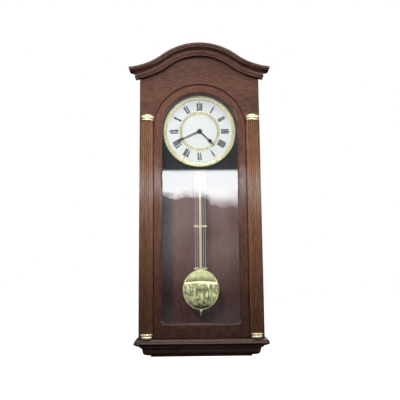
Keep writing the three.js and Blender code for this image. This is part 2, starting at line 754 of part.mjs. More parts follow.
function makeHousing() {
  const { half, low, bay, high, front, rear, wall } = HOUSING;
  const outside = block([-half, half], [front, rear], [low, high]);
  const room = block([-half + wall, half - wall], [front + wall, rear + 1], [low + wall, high - wall]);
  const shelf = block([-half + 1, half - 1], [front + 1, rear - 2], [bay - 0.4, bay + 0.8]);
  const bush = rodAlongDepth(5, [BUSH_FRONT, front + 1], 0, DIAL_HEIGHT, 20);
  const bore = rodAlongDepth(3.5, [BUSH_FRONT - 1, front + 5], 0, DIAL_HEIGHT, 20);
  add("movement_housing", cut(join(cut(outside, room), shelf, bush), bore), plasticBlack);

  const nutSpan = [DIAL_DEPTH - GAP - 2.1, DIAL_DEPTH - GAP];
  const nut = rodAlongDepth(7.4, nutSpan, 0, DIAL_HEIGHT, 6);
  const threads = rodAlongDepth(5.1, [nutSpan[0] - 1, nutSpan[1] + 1], 0, DIAL_HEIGHT, 20);
  add("dial_nut", cut(nut, threads), brass);

  const cover = [rear + GAP, rear + 1.8];
  const backCover = block([-half, half], cover, [low, bay - 0.5]);
  const arborRoom = rodAlongDepth(1.6, [rear - 1, rear + 4], WHEEL_X, WHEEL_Z, 16);
  add("movement_back_cover", cut(backCover, arborRoom), plasticBlack);
  const lid = block([-half, half], cover, [bay, high]);
  const grip = block([-8, 8], [rear + 1, rear + 3], [high - 7, high - 4]);
  add("battery_cover", join(lid, grip), plasticBlack);

  const cell = { radius: 6.9, end: 25, capRadius: 2.6, capLength: 1.4, depth: 48, height: bay + 11 };
  const shoulder = cell.end - cell.capLength;
  const cellProfile = [
    [0, -cell.end],
    [cell.radius, -cell.end],
    [cell.radius, shoulder],
    [cell.capRadius, shoulder],
    [cell.capRadius, cell.end],
    [0, cell.end],
  ];
  add("battery_cell", turnedAlongX(cellProfile, cell.depth, cell.height), cellCase);
  add("step_motor", block([12, 26], [40, 51], [503, 522]), plasticWhite);
  const coil = [
    [0, 43],
    [7, 43],
    [7, 44.4],
    [5.6, 44.4],
    [5.6, 51.4],
    [7, 51.4],
    [7, 52.8],
    [0, 52.8],
  ];
  add("drive_coil", turnedAlongDepth(coil, 0, 483, 20), brass);
}

// A profile of [radius, x] turned about a level axis that runs across the clock.
function turnedAlongX(profile, depth, z) {
  const points = profile.map(([r, x]) => new THREE.Vector2(r, x));
  const geometry = new THREE.LatheGeometry(points, 20);
  geometry.rotateZ(-Math.PI / 2);
  geometry.translate(0, yAt(depth), z);
  return solid(geometry);
}

function makeMotionWork() {
  const down = -Math.PI / 2; // direction from the hand axis to the minute wheel
  const hourSpan = [40, 42];
  const minuteSpan = [44, 46];
  const hourTeeth = 32;
  const wheelTeeth = 30;
  const wheelPinionTeeth = 8;
  const cannonTeeth = 10;

  const cannon = plateFrom(gearShape(cannonTeeth, 0, DIAL_HEIGHT, down), minuteSpan);
  const arbor = rodAlongDepth(1.7, [23.2, 54], 0, DIAL_HEIGHT, 16);
  const drivenDisc = rodAlongDepth(6, [47.5, 49], 0, DIAL_HEIGHT, 24);
  add("minute_arbor", join(cannon, arbor, drivenDisc), brass);

  const hourGear = plateFrom(gearShape(hourTeeth, 0, DIAL_HEIGHT, down), hourSpan);
  const pipe = rodAlongDepth(3.2, [25.3, 41], 0, DIAL_HEIGHT, 20);
  const pipeBore = rodAlongDepth(2, [20, 45], 0, DIAL_HEIGHT, 20);
  add("hour_wheel", cut(join(hourGear, pipe), pipeBore), brass);

  const halfStep = (teeth) => Math.PI / teeth;
  const wheelShape = gearShape(wheelTeeth, WHEEL_X, WHEEL_Z, -down + halfStep(wheelTeeth));
  const pinionAngle = -down + halfStep(wheelPinionTeeth);
  const pinionShape = gearShape(wheelPinionTeeth, WHEEL_X, WHEEL_Z, pinionAngle);
  const wheel = plateFrom(wheelShape, minuteSpan);
  const pinion = plateFrom(pinionShape, [hourSpan[0], minuteSpan[0] + 0.5]);
  const wheelArbor = rodAlongDepth(1.2, [39, 60.5], WHEEL_X, WHEEL_Z, 14);
  add("minute_wheel", join(wheel, pinion, wheelArbor), plasticWhite);

  const knob = new THREE.Shape();
  const ribs = 24;
  for (let i = 0; i < 2 * ribs; i++) {
    const radius = i % 2 ? 7.4 : 8.2;
    const angle = (Math.PI * i) / ribs;
    const place = [WHEEL_X + radius * Math.cos(angle), WHEEL_Z + radius * Math.sin(angle)];
    if (i === 0) knob.moveTo(...place);
    else knob.lineTo(...place);
  }
  add("setting_knob", plateFrom(knob, [60.8, 66]), plasticWhite);
}

// ---- pendulum ---------------------------------------------------------------------------------------------------

const THREAD = { radius: 1.5, foot: 50.5, top: 75 };
const STRIP = { half: 3.15, front: PENDULUM_DEPTH - 0.8, rear: PENDULUM_DEPTH + 0.8 };

function makeHangerFork() {
  const cheeks = [
    [PENDULUM_DEPTH - 5, PENDULUM_DEPTH - 2],
    [PENDULUM_DEPTH + 2, PENDULUM_DEPTH + 5],
  ];
  const low = PENDULUM_PIVOT - 4;
  const top = HOUSING.low - GAP;
  const bridge = block([-6, 6], [cheeks[0][0], cheeks[1][1]], [top - 2.5, top]);
  const sides = cheeks.map((span) => block([-6, 6], span, [low, top - 1]));
  const pin = rodAlongDepth(1.5, [cheeks[0][0] + 1, cheeks[1][1] - 1], 0, PENDULUM_PIVOT, 16);
  add("pendulum_fork", join(bridge, ...sides, pin), steel);
}

function makePendulum() {
  const eye = rodAlongDepth(4, [STRIP.front, STRIP.rear], 0, PENDULUM_PIVOT, 20);
  const limits = [-STRIP.half, STRIP.half];
  const strip = block(limits, [STRIP.front, STRIP.rear], [THREAD.top - 3, PENDULUM_PIVOT]);
  const eyeHole = rodAlongDepth(1.58, [40, 60], 0, PENDULUM_PIVOT, 16);
  const thread = rodUpright(THREAD.radius, [THREAD.foot, THREAD.top], 0, PENDULUM_DEPTH, 12);
  add("pendulum_strip", join(cut(join(eye, strip), eyeHole), thread), brass);

  const barFront = STRIP.rear + GAP;
  const bars = CROSSBAR_HEIGHTS.map((z) => {
    const middle = block([-15, 15], [barFront, barFront + 3.6], [z - 2.7, z + 2.7]);
    const ends = [-15, 15].map((x) => rodAlongDepth(2.7, [barFront, barFront + 3.6], x, z, 14));
    return join(middle, ...ends);
  });
  const [top, , foot] = CROSSBAR_HEIGHTS;
  const rods = GRID_ROD_OFFSETS.map((x) => rodUpright(1, [foot, top], x, barFront + 1.8, 10));
  add("pendulum_grid", join(...bars, ...rods), steel);
}

function makeBob() {
  const rimFront = STRIP.front - 0.8;
  const rimRear = STRIP.rear + 0.1;
  const crown = rimFront - 12; // how far forward the domed face comes
  const outer = [];
  const steps = 8;
  for (let i = 0; i <= steps; i++) {
    const share = i / steps;
    outer.push([BOB_RADIUS * share * 0.97, crown + (rimFront - crown) * share ** 2]);
  }
  const wall = 1;
  const inner = outer.slice(0, steps).map(([r, d]) => [r, d + wall]);
  const profile = [
    ...outer,
    [BOB_RADIUS, rimFront + 0.9],
    [BOB_RADIUS, rimRear],
    [42, rimRear],
    [42, rimRear - 0.7],
    [BOB_RADIUS - 3, rimRear - 0.7],
    [BOB_RADIUS - 4.5, rimFront + 0.9],
    ...inner.reverse(),
  ];
  const shell = turnedAlongDepth(profile, 0, BOB_HEIGHT, 44).scale([BOB_OVAL, 1, 1]);
  const passage = block([-3.6, 3.6], [STRIP.front - 0.35, 60], [50, 180]);
  const threadRoom = rodUpright(2, [50, THREAD.top + BOB_TRAVEL + 1], 0, PENDULUM_DEPTH, 12);
  add("bob_face", cut(shell, passage, threadRoom), brass);

  const back = rodAlongDepth(46, [rimRear + GAP, rimRear + GAP + 1.2], 0, BOB_HEIGHT, 36);
  add("bob_back", cut(back.scale([BOB_OVAL, 1, 1]), threadRoom), steel);
}

function makeRatingNut() {
  const top = BOB_HEIGHT - BOB_RADIUS - 0.3;
  const profile = [
    [1.6, top],
    [4.2, top],
    [4.6, top - 0.8],
    [4.6, top - 4],
    [3.4, top - 5],
    [2.8, top - 8],
    [1.6, top - 9],
    [1.6, top],
  ];
  add("rating_nut", turnedUpright(profile, 0, PENDULUM_DEPTH, 20), brass);
}

makeCase();
makeHanger();
makeAccessPanel();
makeFrontFrame();
makeColumns();
makeCrown();
makeBase();
makeDoor();
makeHinges();
makeCatch();
makeDial();
makeHands();
makeHousing();
makeMotionWork();
makeHangerFork();
makePendulum();
makeBob();
makeRatingNut();

export default clock;
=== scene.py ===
"""Looks of the pendulum wall clock: detailed wood, brass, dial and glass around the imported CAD.

Lengths inside the helpers are millimetres, laid out as on the drawing board: x to the right,
depth back from the case front and height up from the foot of the case. place() turns them into
the shared frame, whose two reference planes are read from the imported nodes.
"""

import math

import bmesh
import bpy
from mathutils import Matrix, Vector


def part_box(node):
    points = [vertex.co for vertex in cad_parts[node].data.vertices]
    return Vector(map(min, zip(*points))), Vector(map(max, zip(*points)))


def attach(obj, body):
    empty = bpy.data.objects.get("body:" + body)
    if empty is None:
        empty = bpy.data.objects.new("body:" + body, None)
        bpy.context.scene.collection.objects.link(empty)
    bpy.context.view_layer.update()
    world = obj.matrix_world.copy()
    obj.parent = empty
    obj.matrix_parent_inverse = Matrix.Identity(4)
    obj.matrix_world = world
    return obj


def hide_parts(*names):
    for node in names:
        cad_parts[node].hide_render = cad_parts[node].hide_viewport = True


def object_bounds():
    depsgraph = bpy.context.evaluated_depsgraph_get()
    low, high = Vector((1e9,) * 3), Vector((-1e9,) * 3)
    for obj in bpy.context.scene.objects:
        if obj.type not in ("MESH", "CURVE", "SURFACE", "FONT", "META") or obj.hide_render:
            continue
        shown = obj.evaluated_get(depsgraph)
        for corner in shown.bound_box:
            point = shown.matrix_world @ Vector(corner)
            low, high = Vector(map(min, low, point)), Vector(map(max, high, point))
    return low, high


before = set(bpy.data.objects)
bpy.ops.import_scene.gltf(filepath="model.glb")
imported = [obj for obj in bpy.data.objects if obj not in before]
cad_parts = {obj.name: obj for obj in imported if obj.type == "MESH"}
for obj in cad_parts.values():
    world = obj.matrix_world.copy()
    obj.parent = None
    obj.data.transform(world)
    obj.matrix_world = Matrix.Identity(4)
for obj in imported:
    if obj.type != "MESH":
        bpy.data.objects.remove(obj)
cad_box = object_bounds()

MM = 0.001
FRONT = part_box("frieze_board")[0].y
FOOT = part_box("left_side_panel")[0].z


def place(x, depth, height):
    return Vector((x * MM, FRONT + depth * MM, FOOT + height * MM))


def limits(node):
    """The node's lowest and highest corner as (x, depth, height) in millimetres."""
    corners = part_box(node)
    return [(c.x / MM, (c.y - FRONT) / MM, (c.z - FOOT) / MM) for c in corners]


def middle(node):
    low, high = limits(node)
    return [(a + b) / 2 for a, b in zip(low, high)]


def reach_of(node):
    """Half the node's width."""
    low, high = limits(node)
    return (high[0] - low[0]) / 2


# ---- camera ---------------------------------------------------------------------------------


def add_camera():
    """Just below the middle of the clock, tilted up a little and a touch out of level."""
    yaw = math.radians(0.907)
    pitch = math.radians(7.433)
    roll = math.radians(-0.537)
    flat = math.cos(pitch)
    forward = Vector((math.sin(yaw) * flat, math.cos(yaw) * flat, math.sin(pitch)))
    level = Vector((math.cos(yaw), -math.sin(yaw), 0))
    upright = level.cross(forward)
    right = math.cos(roll) * level + math.sin(roll) * upright
    up = math.cos(roll) * upright - math.sin(roll) * level
    data = bpy.data.cameras.new("camera")
    data.sensor_width = 36
    data.lens = 45.36
    camera = bpy.data.objects.new("camera", data)
    turn = camera.matrix_world.to_3x3()
    turn.col[0] = right
    turn.col[1] = up
    turn.col[2] = -forward
    camera.matrix_world = turn.to_4x4()
    camera.location = Vector((-0.0209, -1.3999, -0.4644))
    bpy.context.scene.collection.objects.link(camera)
    bpy.context.scene.camera = camera


add_camera()

# ---- node helpers ---------------------------------------------------------------------------


def blank(name):
    """A material with a node tree, and its Principled shader."""
    material = bpy.data.materials.new(name)
    material.use_nodes = True
    tree = material.node_tree
    return material, tree, tree.nodes["Principled BSDF"]


def bare(name):
    """A material with a node tree that holds nothing but its output."""
    material, tree, shader = blank(name)
    tree.nodes.remove(shader)
    return material, tree


def surface(tree, shader):
    """Makes the material out of this shader's output."""
    tree.links.new(shader.outputs[0], tree.nodes["Material Output"].inputs["Surface"])


def add_node(tree, kind, inputs=None, **settings):
    """A node with its settings, and each named input set to a value or linked to a socket."""
    node = tree.nodes.new(kind)
    for key, value in settings.items():
        setattr(node, key, value)
    for key, value in (inputs or {}).items():
        if isinstance(value, bpy.types.NodeSocket):
            tree.links.new(value, node.inputs[key])
        else:
            node.inputs[key].default_value = value
    return node


def noise(tree, vector, scale, detail=3.0, roughness=0.55):
    inputs = {"Vector": vector, "Scale": scale, "Detail": detail, "Roughness": roughness}
    return add_node(tree, "ShaderNodeTexNoise", inputs).outputs["Fac"]


def remap(tree, value, low, high, to_low=0.0, to_high=1.0):
    inputs = {"Value": value, "From Min": low, "From Max": high, "To Min": to_low, "To Max": to_high}
    return add_node(tree, "ShaderNodeMapRange", inputs).outputs["Result"]


def blend_colour(tree, fac, first, second):
    node = add_node(tree, "ShaderNodeMix", data_type="RGBA")
    for socket, value in ((node.inputs[0], fac), (node.inputs[6], first), (node.inputs[7], second)):
        if isinstance(value, bpy.types.NodeSocket):
            tree.links.new(value, socket)
        else:
            socket.default_value = value
    return node.outputs[2]


def maths(tree, operation, first, second):
    return add_node(tree, "ShaderNodeMath", {0: first, 1: second}, operation=operation).outputs[0]


def mix_numbers(tree, fac, first, second):
    return add_node(tree, "ShaderNodeMix", {0: fac, 2: first, 3: second}, data_type="FLOAT").outputs[0]


def stretched(tree, along, stretch):
    """Coordinates in metres, squeezed along the grain: a row axis, or 'path' for the stored run."""
    if along == "path":
        source = add_node(tree, "ShaderNodeAttribute", attribute_name="grain").outputs["Vector"]
    else:
        source = add_node(tree, "ShaderNodeTexCoord").outputs["Object"]
    scale = [1.0, 1.0, 1.0]
    scale["XYZ".index("Z" if along == "path" else along)] = stretch
    return add_node(tree, "ShaderNodeMapping", {"Vector": source, "Scale": scale}).outputs["Vector"]


def bump(tree, shader, height, strength, distance):
    inputs = {"Height": height, "Strength": strength, "Distance": distance}
    node = add_node(tree, "ShaderNodeBump", inputs)
    tree.links.new(node.outputs["Normal"], shader.inputs["Normal"])


# ---- materials ------------------------------------------------------------------------------


def wood(name, along, dark, light, coat=0.4, roughness=0.4, groove=0.0):
    """Open-pored wood: a slow ribbon figure, fine streaks and short dark pores along the grain.

    groove darkens the hollows of a piece whose "hollow" attribute says how deep they are: painted shade
    for the shadow in them, partly also a dark glaze.
    """
    material, tree, shader = blank(name)
    run = stretched(tree, along, 0.16)
    ribbon = noise(tree, stretched(tree, along, 0.07), 30, 2.0)
    streak = noise(tree, run, 330, 4.0, 0.66)
    pore = noise(tree, run, 900, 2.0, 0.5)
    figure = blend_colour(tree, 0.72, ribbon, streak)
    share = remap(tree, figure, 0.4, 0.62)
    colour = blend_colour(tree, share, (*dark, 1), (*light, 1))
    pores = remap(tree, pore, 0.55, 0.72, 0.0, 0.5)
    deep_colour = (dark[0] * 0.4, dark[1] * 0.33, dark[2] * 0.3, 1)
    colour = blend_colour(tree, pores, colour, deep_colour)
    # Painted shade: the hollows darken with their depth, partly a dark glaze and partly standing in for
    # the shadow inside them.
    if groove:
        hollow = add_node(tree, "ShaderNodeAttribute", attribute_name="hollow").outputs["Fac"]
        glaze_and_painted_shade = maths(tree, "MULTIPLY", hollow, groove)
        colour = blend_colour(tree, glaze_and_painted_shade, colour, deep_colour)
    tree.links.new(colour, shader.inputs["Base Color"])
    gloss = remap(tree, figure, 0.3, 0.7, roughness + 0.06, roughness - 0.05)
    tree.links.new(gloss, shader.inputs["Roughness"])
    shader.inputs["Specular IOR Level"].default_value = 0.2
    shader.inputs["Coat Weight"].default_value = coat
    shader.inputs["Coat Roughness"].default_value = 0.12
    depth = blend_colour(tree, 0.3, pores, figure)
    bump(tree, shader, depth, 0.15, -0.0003)
    return material


def metal(name, colour, roughness, tarnish=0.12, along=None, stretch=0.02, wave=0.0):
    """Bare or plated metal, with a faint uneven lustre; brushed along an axis if one is given."""
    material, tree, shader = blank(name)
    run = stretched(tree, along, stretch) if along else stretched(tree, "Z", 1.0)
    cloud = noise(tree, run, 90, 3.0)
    fine = noise(tree, run, 900 if along else 420, 4.0, 0.6)
    worn = tuple(c * (1 - tarnish) for c in colour)
    share = remap(tree, cloud, 0.35, 0.65)
    tree.links.new(blend_colour(tree, share, (*worn, 1), (*colour, 1)), shader.inputs["Base Color"])
    gloss = remap(tree, fine, 0.3, 0.7, roughness * 0.8, roughness * 1.3)
    tree.links.new(gloss, shader.inputs["Roughness"])
    shader.inputs["Metallic"].default_value = 1.0
    if wave:
        swell = noise(tree, run, 38, 1.5, 0.4)
        bump(tree, shader, swell, wave, 0.002)
    elif along:
        bump(tree, shader, fine, 0.08, 0.0001)
    return material


def coating(name, colour, roughness, speckle=0.25, grain_scale=900, relief=0.15, specular=0.5):
    """Paint, plastic or board: a fine surface grain with a slow change of tone."""
    material, tree, shader = blank(name)
    run = stretched(tree, "Z", 1.0)
    cloud = noise(tree, run, 22, 3.0)
    fine = noise(tree, run, grain_scale, 3.0, 0.6)
    figure = blend_colour(tree, 0.5, cloud, fine)
    share = remap(tree, figure, 0.35, 0.65)
    deep = tuple(c * (1 - speckle) for c in colour)
    tree.links.new(blend_colour(tree, share, (*deep, 1), (*colour, 1)), shader.inputs["Base Color"])
    gloss = remap(tree, fine, 0.3, 0.7, roughness * 0.88, roughness * 1.12)
    tree.links.new(gloss, shader.inputs["Roughness"])
    shader.inputs["Specular IOR Level"].default_value = specular
    bump(tree, shader, fine, relief, 0.0001)
    return material


def window_glass(name):
    """A thin pane: it lets light through and mirrors more at a slant, with faint smears.

    Only light that enters a face is mirrored, by as much as both faces of a pane would mirror.
    """
    material, tree = bare(name)
    run = stretched(tree, "Z", 1.0)
    smear = remap(tree, noise(tree, run, 9, 3.0), 0.4, 0.75, 0.0, 0.035)
    mirror = add_node(tree, "ShaderNodeBsdfGlossy", {"Color": (1, 1, 1, 1), "Roughness": smear})
    clear = add_node(tree, "ShaderNodeBsdfTransparent", {"Color": (0.97, 0.98, 0.975, 1)})
    fresnel = add_node(tree, "ShaderNodeFresnel", {"IOR": 1.8}).outputs["Fac"]
    leaving = add_node(tree, "ShaderNodeNewGeometry").outputs["Backfacing"]
    share = maths(tree, "MULTIPLY", fresnel, maths(tree, "SUBTRACT", 1.0, leaving))
    inputs = {0: share, 1: clear.outputs["BSDF"], 2: mirror.outputs["BSDF"]}
    surface(tree, add_node(tree, "ShaderNodeMixShader", inputs))
    return material


MAHOGANY_DARK = (0.056, 0.0205, 0.0115)
MAHOGANY_LIGHT = (0.185, 0.072, 0.042)

looks = {
    "wood_x": wood("mahogany across", "X", MAHOGANY_DARK, MAHOGANY_LIGHT),
    "wood_z": wood("mahogany upright", "Z", MAHOGANY_DARK, MAHOGANY_LIGHT),
    "wood_path": wood("mahogany along a moulding", "path", MAHOGANY_DARK, MAHOGANY_LIGHT),
    # Its flutes get painted shade in their hollows, partly a dark glaze.
    "column": wood("mahogany column", "Z", (0.19, 0.078, 0.035), (0.38, 0.17, 0.08), groove=0.75),
    "dark_wood": wood("dark stained wood", "X", (0.022, 0.008, 0.006), (0.07, 0.026, 0.018)),
    "veneer": wood("back veneer", "Z", (0.15, 0.064, 0.056), (0.26, 0.11, 0.096), 0.1, 0.5),
    "plywood": wood("plywood", "X", (0.2, 0.11, 0.055), (0.36, 0.22, 0.12), 0.0, 0.75),
    "brass": metal("polished brass", (0.8, 0.72, 0.45), 0.26, 0.08),
    "bob_brass": metal("bob brass", (0.8, 0.78, 0.4), 0.09, 0.2, wave=0.08),
    "brushed_brass": metal("brushed brass", (0.8, 0.75, 0.5), 0.42, along="Z"),
    "bronze": metal("dark bronze", (0.06, 0.035, 0.02), 0.45),
    "gear_brass": metal("gear brass", (0.74, 0.56, 0.27), 0.3),
    "steel": metal("plated steel", (0.66, 0.66, 0.67), 0.28, along="X"),
    "rod_steel": metal("bright rods", (0.56, 0.55, 0.54), 0.42, along="Z"),
    "copper": metal("copper winding", (0.72, 0.32, 0.16), 0.35, along="X"),
    "black_board": coating("black board", (0.012, 0.0125, 0.014), 0.6, relief=0.2, specular=0.1),
    "black_paint": coating("satin black", (0.011, 0.011, 0.012), 0.32, relief=0.05),
    "dial_white": coating("dial white", (0.89, 0.91, 0.95), 0.4, 0.02, 1600, 0.04),
    "dial_ink": coating("numeral ink", (0.006, 0.007, 0.016), 0.8, 0.2, 1600, 0.02, 0.0),
    "track_grey": coating("printed grey", (0.2, 0.2, 0.22), 0.5, 0.1, relief=0.02),
    "black_plastic": coating("black plastic", (0.02, 0.02, 0.022), 0.48, 0.3, 1400, 0.25),
    "white_plastic": coating("white plastic", (0.7, 0.69, 0.64), 0.4, 0.08, 1400, 0.1),
    "cell": coating("cell can", (0.42, 0.22, 0.06), 0.3, 0.1, 500, 0.03),
    "glass": window_glass("door glass"),
}

# ---- mesh helpers ---------------------------------------------------------------------------


def soften(points, passes=2):
    """Rounds a line of points by cutting its corners. A point given twice stays a corner."""
    for _ in range(passes):
        cut = []
        for a, b in zip(points, points[1:]):
            cut.append(tuple(p * 0.75 + q * 0.25 for p, q in zip(a, b)))
            cut.append(tuple(p * 0.25 + q * 0.75 for p, q in zip(a, b)))
        points = [points[0], *cut, points[-1]]
    return tidy_line(points)


def tidy_line(points, least=1e-4):
    """The points without those that repeat the one before."""
    kept = [points[0]]
    for point in points[1:]:
        if math.dist(point, kept[-1]) > least:
            kept.append(point)
    return kept


def build(name, rings, look, body, replaces=(), ringed=False, grain=None, crease=35, hollow=None):
    """A piece lofted through rings; it rides on body and stands for the CAD nodes.

    grain and hollow hold a value for each point of the rings, for the wood to read.
    """
    vertices, faces = loft(rings, ringed)
    mesh = bpy.data.meshes.new(name)
    bm = bmesh.new()
    layer = bm.verts.layers.float_vector.new("grain") if grain else None
    depths = bm.verts.layers.float.new("hollow") if hollow else None
    corners = [bm.verts.new(v) for v in vertices]
    if grain:
        for corner, value in zip(corners, grain):
            corner[layer] = value
    if hollow:
        for corner, value in zip(corners, hollow):
            corner[depths] = value
    for face in faces:
        if len(set(face)) == len(face):
            bm.faces.new([corners[i] for i in face])
    bmesh.ops.remove_doubles(bm, verts=bm.verts, dist=1e-7)
    bmesh.ops.dissolve_degenerate(bm, edges=bm.edges, dist=1e-8)
    finish_piece(name, mesh, bm, look, body, replaces, crease)


def finish_piece(name, mesh, bm, look, body, replaces=(), crease=35):
    """Turns a bmesh into a smooth piece of the clock, with edges sharper than crease kept."""
    bmesh.ops.recalc_face_normals(bm, faces=bm.faces)
    for face in bm.faces:
        face.smooth = True
    bm.to_mesh(mesh)
    bm.free()
    mesh.set_sharp_from_angle(angle=math.radians(crease))
    mesh.materials.append(looks[look])
    piece = bpy.data.objects.new(name, mesh)
    bpy.context.scene.collection.objects.link(piece)
    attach(piece, body)
    if replaces:
        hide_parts(*replaces)
    return piece


def loft(rings, ringed=False):
    """Vertices and faces of a closed section carried through the rings.

    The run ends in flat caps, or goes back to its first ring if it is ringed.
    """
    count = len(rings[0])
    vertices = [point for ring in rings for point in ring]
    faces = []
    spans = len(rings) if ringed else len(rings) - 1
    for r in range(spans):
        a = r * count
        b = ((r + 1) % len(rings)) * count
        for i in range(count):
            j = (i + 1) % count
            faces.append((a + i, a + j, b + j, b + i))
    if not ringed:
        faces.append(tuple(reversed(range(count))))
        faces.append(tuple(range((len(rings) - 1) * count, len(rings) * count)))
    return vertices, faces


def path_grain(rings):
    """For each point of a loft: how far round its section it is, and how far along the run."""
    values = []
    run = 0.0
    for r, ring in enumerate(rings):
        if r:
            run += (ring[0] - rings[r - 1][0]).length
        round_section = 0.0
        for i, point in enumerate(ring):
            if i:
                round_section += (point - ring[i - 1]).length
            values.append((round_section, 0.0, run))
    return values


def turned(profile, centre, axis, steps, ripple=None):
    """Rings of a profile of (radius, distance along the axis) turned about centre.

    axis is 'depth' or 'height'. ripple(radius, angle) changes the radius.
    """
    x, depth, height = centre
    rings = []
    for step in range(steps):
        angle = 2 * math.pi * step / steps
        ring = []
        for radius, along in profile:
            r = ripple(radius, angle) if ripple else radius
            u = r * math.sin(angle)
            v = r * math.cos(angle)
            if axis == "depth":
                ring.append(place(x + u, along, height + v))
            else:
                ring.append(place(x + u, depth - v, along))
        rings.append(ring)
    return rings


def slab(name, outline, depths, look, body, replaces=(), edge=0.4, holes=()):
    """A board cut to an outline of (x, height), with small rounded edges."""
    mesh = bpy.data.meshes.new(name)
    bm = bmesh.new()
    loops = []
    for line in (outline, *holes):
        corners = [bm.verts.new(place(x, depths[0], z)) for x, z in line]
        loops += [bm.edges.new((a, b)) for a, b in zip(corners, corners[1:] + corners[:1])]
    if holes:
        bmesh.ops.triangle_fill(bm, use_beauty=True, use_dissolve=False, edges=loops)
    else:
        bm.faces.new(corners)
    sheet = bmesh.ops.extrude_face_region(bm, geom=bm.faces[:])
    moved = [v for v in sheet["geom"] if isinstance(v, bmesh.types.BMVert)]
    bmesh.ops.translate(bm, verts=moved, vec=(0, (depths[1] - depths[0]) * MM, 0))
    round_edges(finish_piece(name, mesh, bm, look, body, replaces), edge)


def round_edges(piece, width):
    """Small worn edges, as the real boards and mouldings have."""
    bevel = piece.modifiers.new("worn edges", "BEVEL")
    bevel.width = width * MM
    bevel.segments = 2
    bevel.limit_method = "ANGLE"
    bevel.angle_limit = math.radians(40)
    bevel.harden_normals = True


# ---- driving values -------------------------------------------------------------------------

HALF = reach_of("frieze_board")
DIAL_X, _, DIAL_Z = middle("dial_plate")
TOUCH = 0.3  # gap between pieces that touch
MITRE = 0.2  # half the gap between mouldings that meet at a corner
SIDES = (("left", -1), ("right", 1))


def make_returns(name, node, section):
    """The short mouldings that run back from both ends of a front one."""
    wall = limits(f"{node}_left")[1][1]
    for end, side in SIDES:
        rings = []
        for share in (0, 0.5, 1):
            ring = []
            for reach, z in section:
                start = -reach + MITRE
                ring.append(place(side * (HALF + reach), start + (wall - start) * share, z))
            rings.append(ring)
        build(f"{name}_{end}", rings, "wood_path", "case", [f"{node}_{end}"],
              grain=path_grain(rings))


# ---- crown ----------------------------------------------------------------------------------

CROWN_PEAK = limits("crown_moulding")[1][2]
HUMP_RADIUS = 158
SWEEP_RADIUS = 170
CROWN_TURN = math.radians(36.8)
CENTRES = HUMP_RADIUS + SWEEP_RADIUS
SWEEP_X = CENTRES * math.sin(CROWN_TURN)
HUMP_Z = CROWN_PEAK - HUMP_RADIUS
SWEEP_Z = HUMP_Z + CENTRES * math.cos(CROWN_TURN)
ROOF_THICK = 8
ROOF_TOP = 0.5  # how far the roof's and the frieze's top lie below the crown's


def crown_line(inset, end, hump_steps=28, sweep_steps=30):
    """The bell curve's top line lowered square to itself by inset, from -end to +end."""
    sweep = SWEEP_RADIUS + inset
    last = math.asin((SWEEP_X - end) / sweep)
    right = []
    for i in range(hump_steps + 1):
        slope = CROWN_TURN * i / hump_steps
        radius = HUMP_RADIUS - inset
        right.append((radius * math.sin(slope), HUMP_Z + radius * math.cos(slope)))
    for i in range(1, sweep_steps + 1):
        slope = CROWN_TURN + (last - CROWN_TURN) * i / sweep_steps
        right.append((SWEEP_X - sweep * math.sin(slope), SWEEP_Z - sweep * math.cos(slope)))
    left = [(-x, z) for x, z in reversed(right[1:])]
    return left + right


# Crown section: (reach out from the case, distance below the top line).
CROWN_SECTION = soften([
    (TOUCH, 0), (TOUCH, 0), (24.6, 0), (26.4, 0.4), (26.5, 4), (25.2, 7.2), (22.8, 7.8), (22.8, 7.8),
    (22.4, 9.2), (22.4, 9.2), (19.4, 9.8), (14.6, 12.4), (11.8, 16.2), (11.2, 19.6), (11.2, 19.6),
    (10.3, 19.9), (10.3, 20.4), (12, 20.6), (12.4, 22.6), (11.6, 24.2), (10.3, 24.4), (10.3, 24.4),
    (10, 28.5), (10, 28.5), (TOUCH, 28.5), (TOUCH, 28.5),
])


def make_crown():
    lines = [crown_line(inset, HALF + reach - MITRE) for reach, inset in CROWN_SECTION]
    rings = []
    for station in range(len(lines[0])):
        ring = []
        for (reach, _), line in zip(CROWN_SECTION, lines):
            x, z = line[station]
            ring.append(place(x, -reach, z))
        rings.append(ring)
    build("crown_front", rings, "wood_path", "case", ["crown_moulding"],
          grain=path_grain(rings))
    ends = [(reach, crown_line(inset, HALF + reach)[-1][1]) for reach, inset in CROWN_SECTION]
    make_returns("crown_side", "crown_return", ends)


def make_roof():
    low, high = limits("roof_board")
    over = crown_line(ROOF_TOP, high[0])
    under = crown_line(ROOF_THICK, high[0])
    slab("roof", over + under[::-1], (low[1], high[1]), "wood_x", "case", ["roof_board"])


def make_frieze():
    low, high = limits("frieze_board")
    opening = limits("right_stile")[0][0]
    end = math.acos((low[2] - DIAL_Z) / opening)
    steps = 96
    arch = []
    for i in range(steps + 1):
        angle = -end + 2 * end * i / steps
        arch.append((opening * math.sin(angle), DIAL_Z + opening * math.cos(angle)))
    top = crown_line(ROOF_TOP, HALF)
    outline = [(-HALF, low[2]), *arch, (HALF, low[2]), *top[::-1]]
    slab("frieze", tidy_line(outline), (low[1], high[1]), "wood_x", "case",
         ["frieze_board"], edge=0.5)


# ---- base -----------------------------------------------------------------------------------

# Base section: (reach out from the case, height).
BASE_SECTION = soften([
    (-34, -TOUCH), (-34, -TOUCH), (2.5, -TOUCH), (2.5, -TOUCH), (6.4, -1.2), (9.2, -5), (10.9, -9.2),
    (11.4, -11.4), (10, -13.2), (6, -15.6), (1.5, -17.6), (-2, -18.8), (-2, -18.8), (-2, -21.6),
    (-2, -21.6), (-5.5, -22), (-8.4, -26), (-9, -32), (-10.6, -37), (-15, -40.6),
    (-19, -41), (-19, -41), (-19, -42), (-19, -42), (-34, -42), (-34, -42),
])


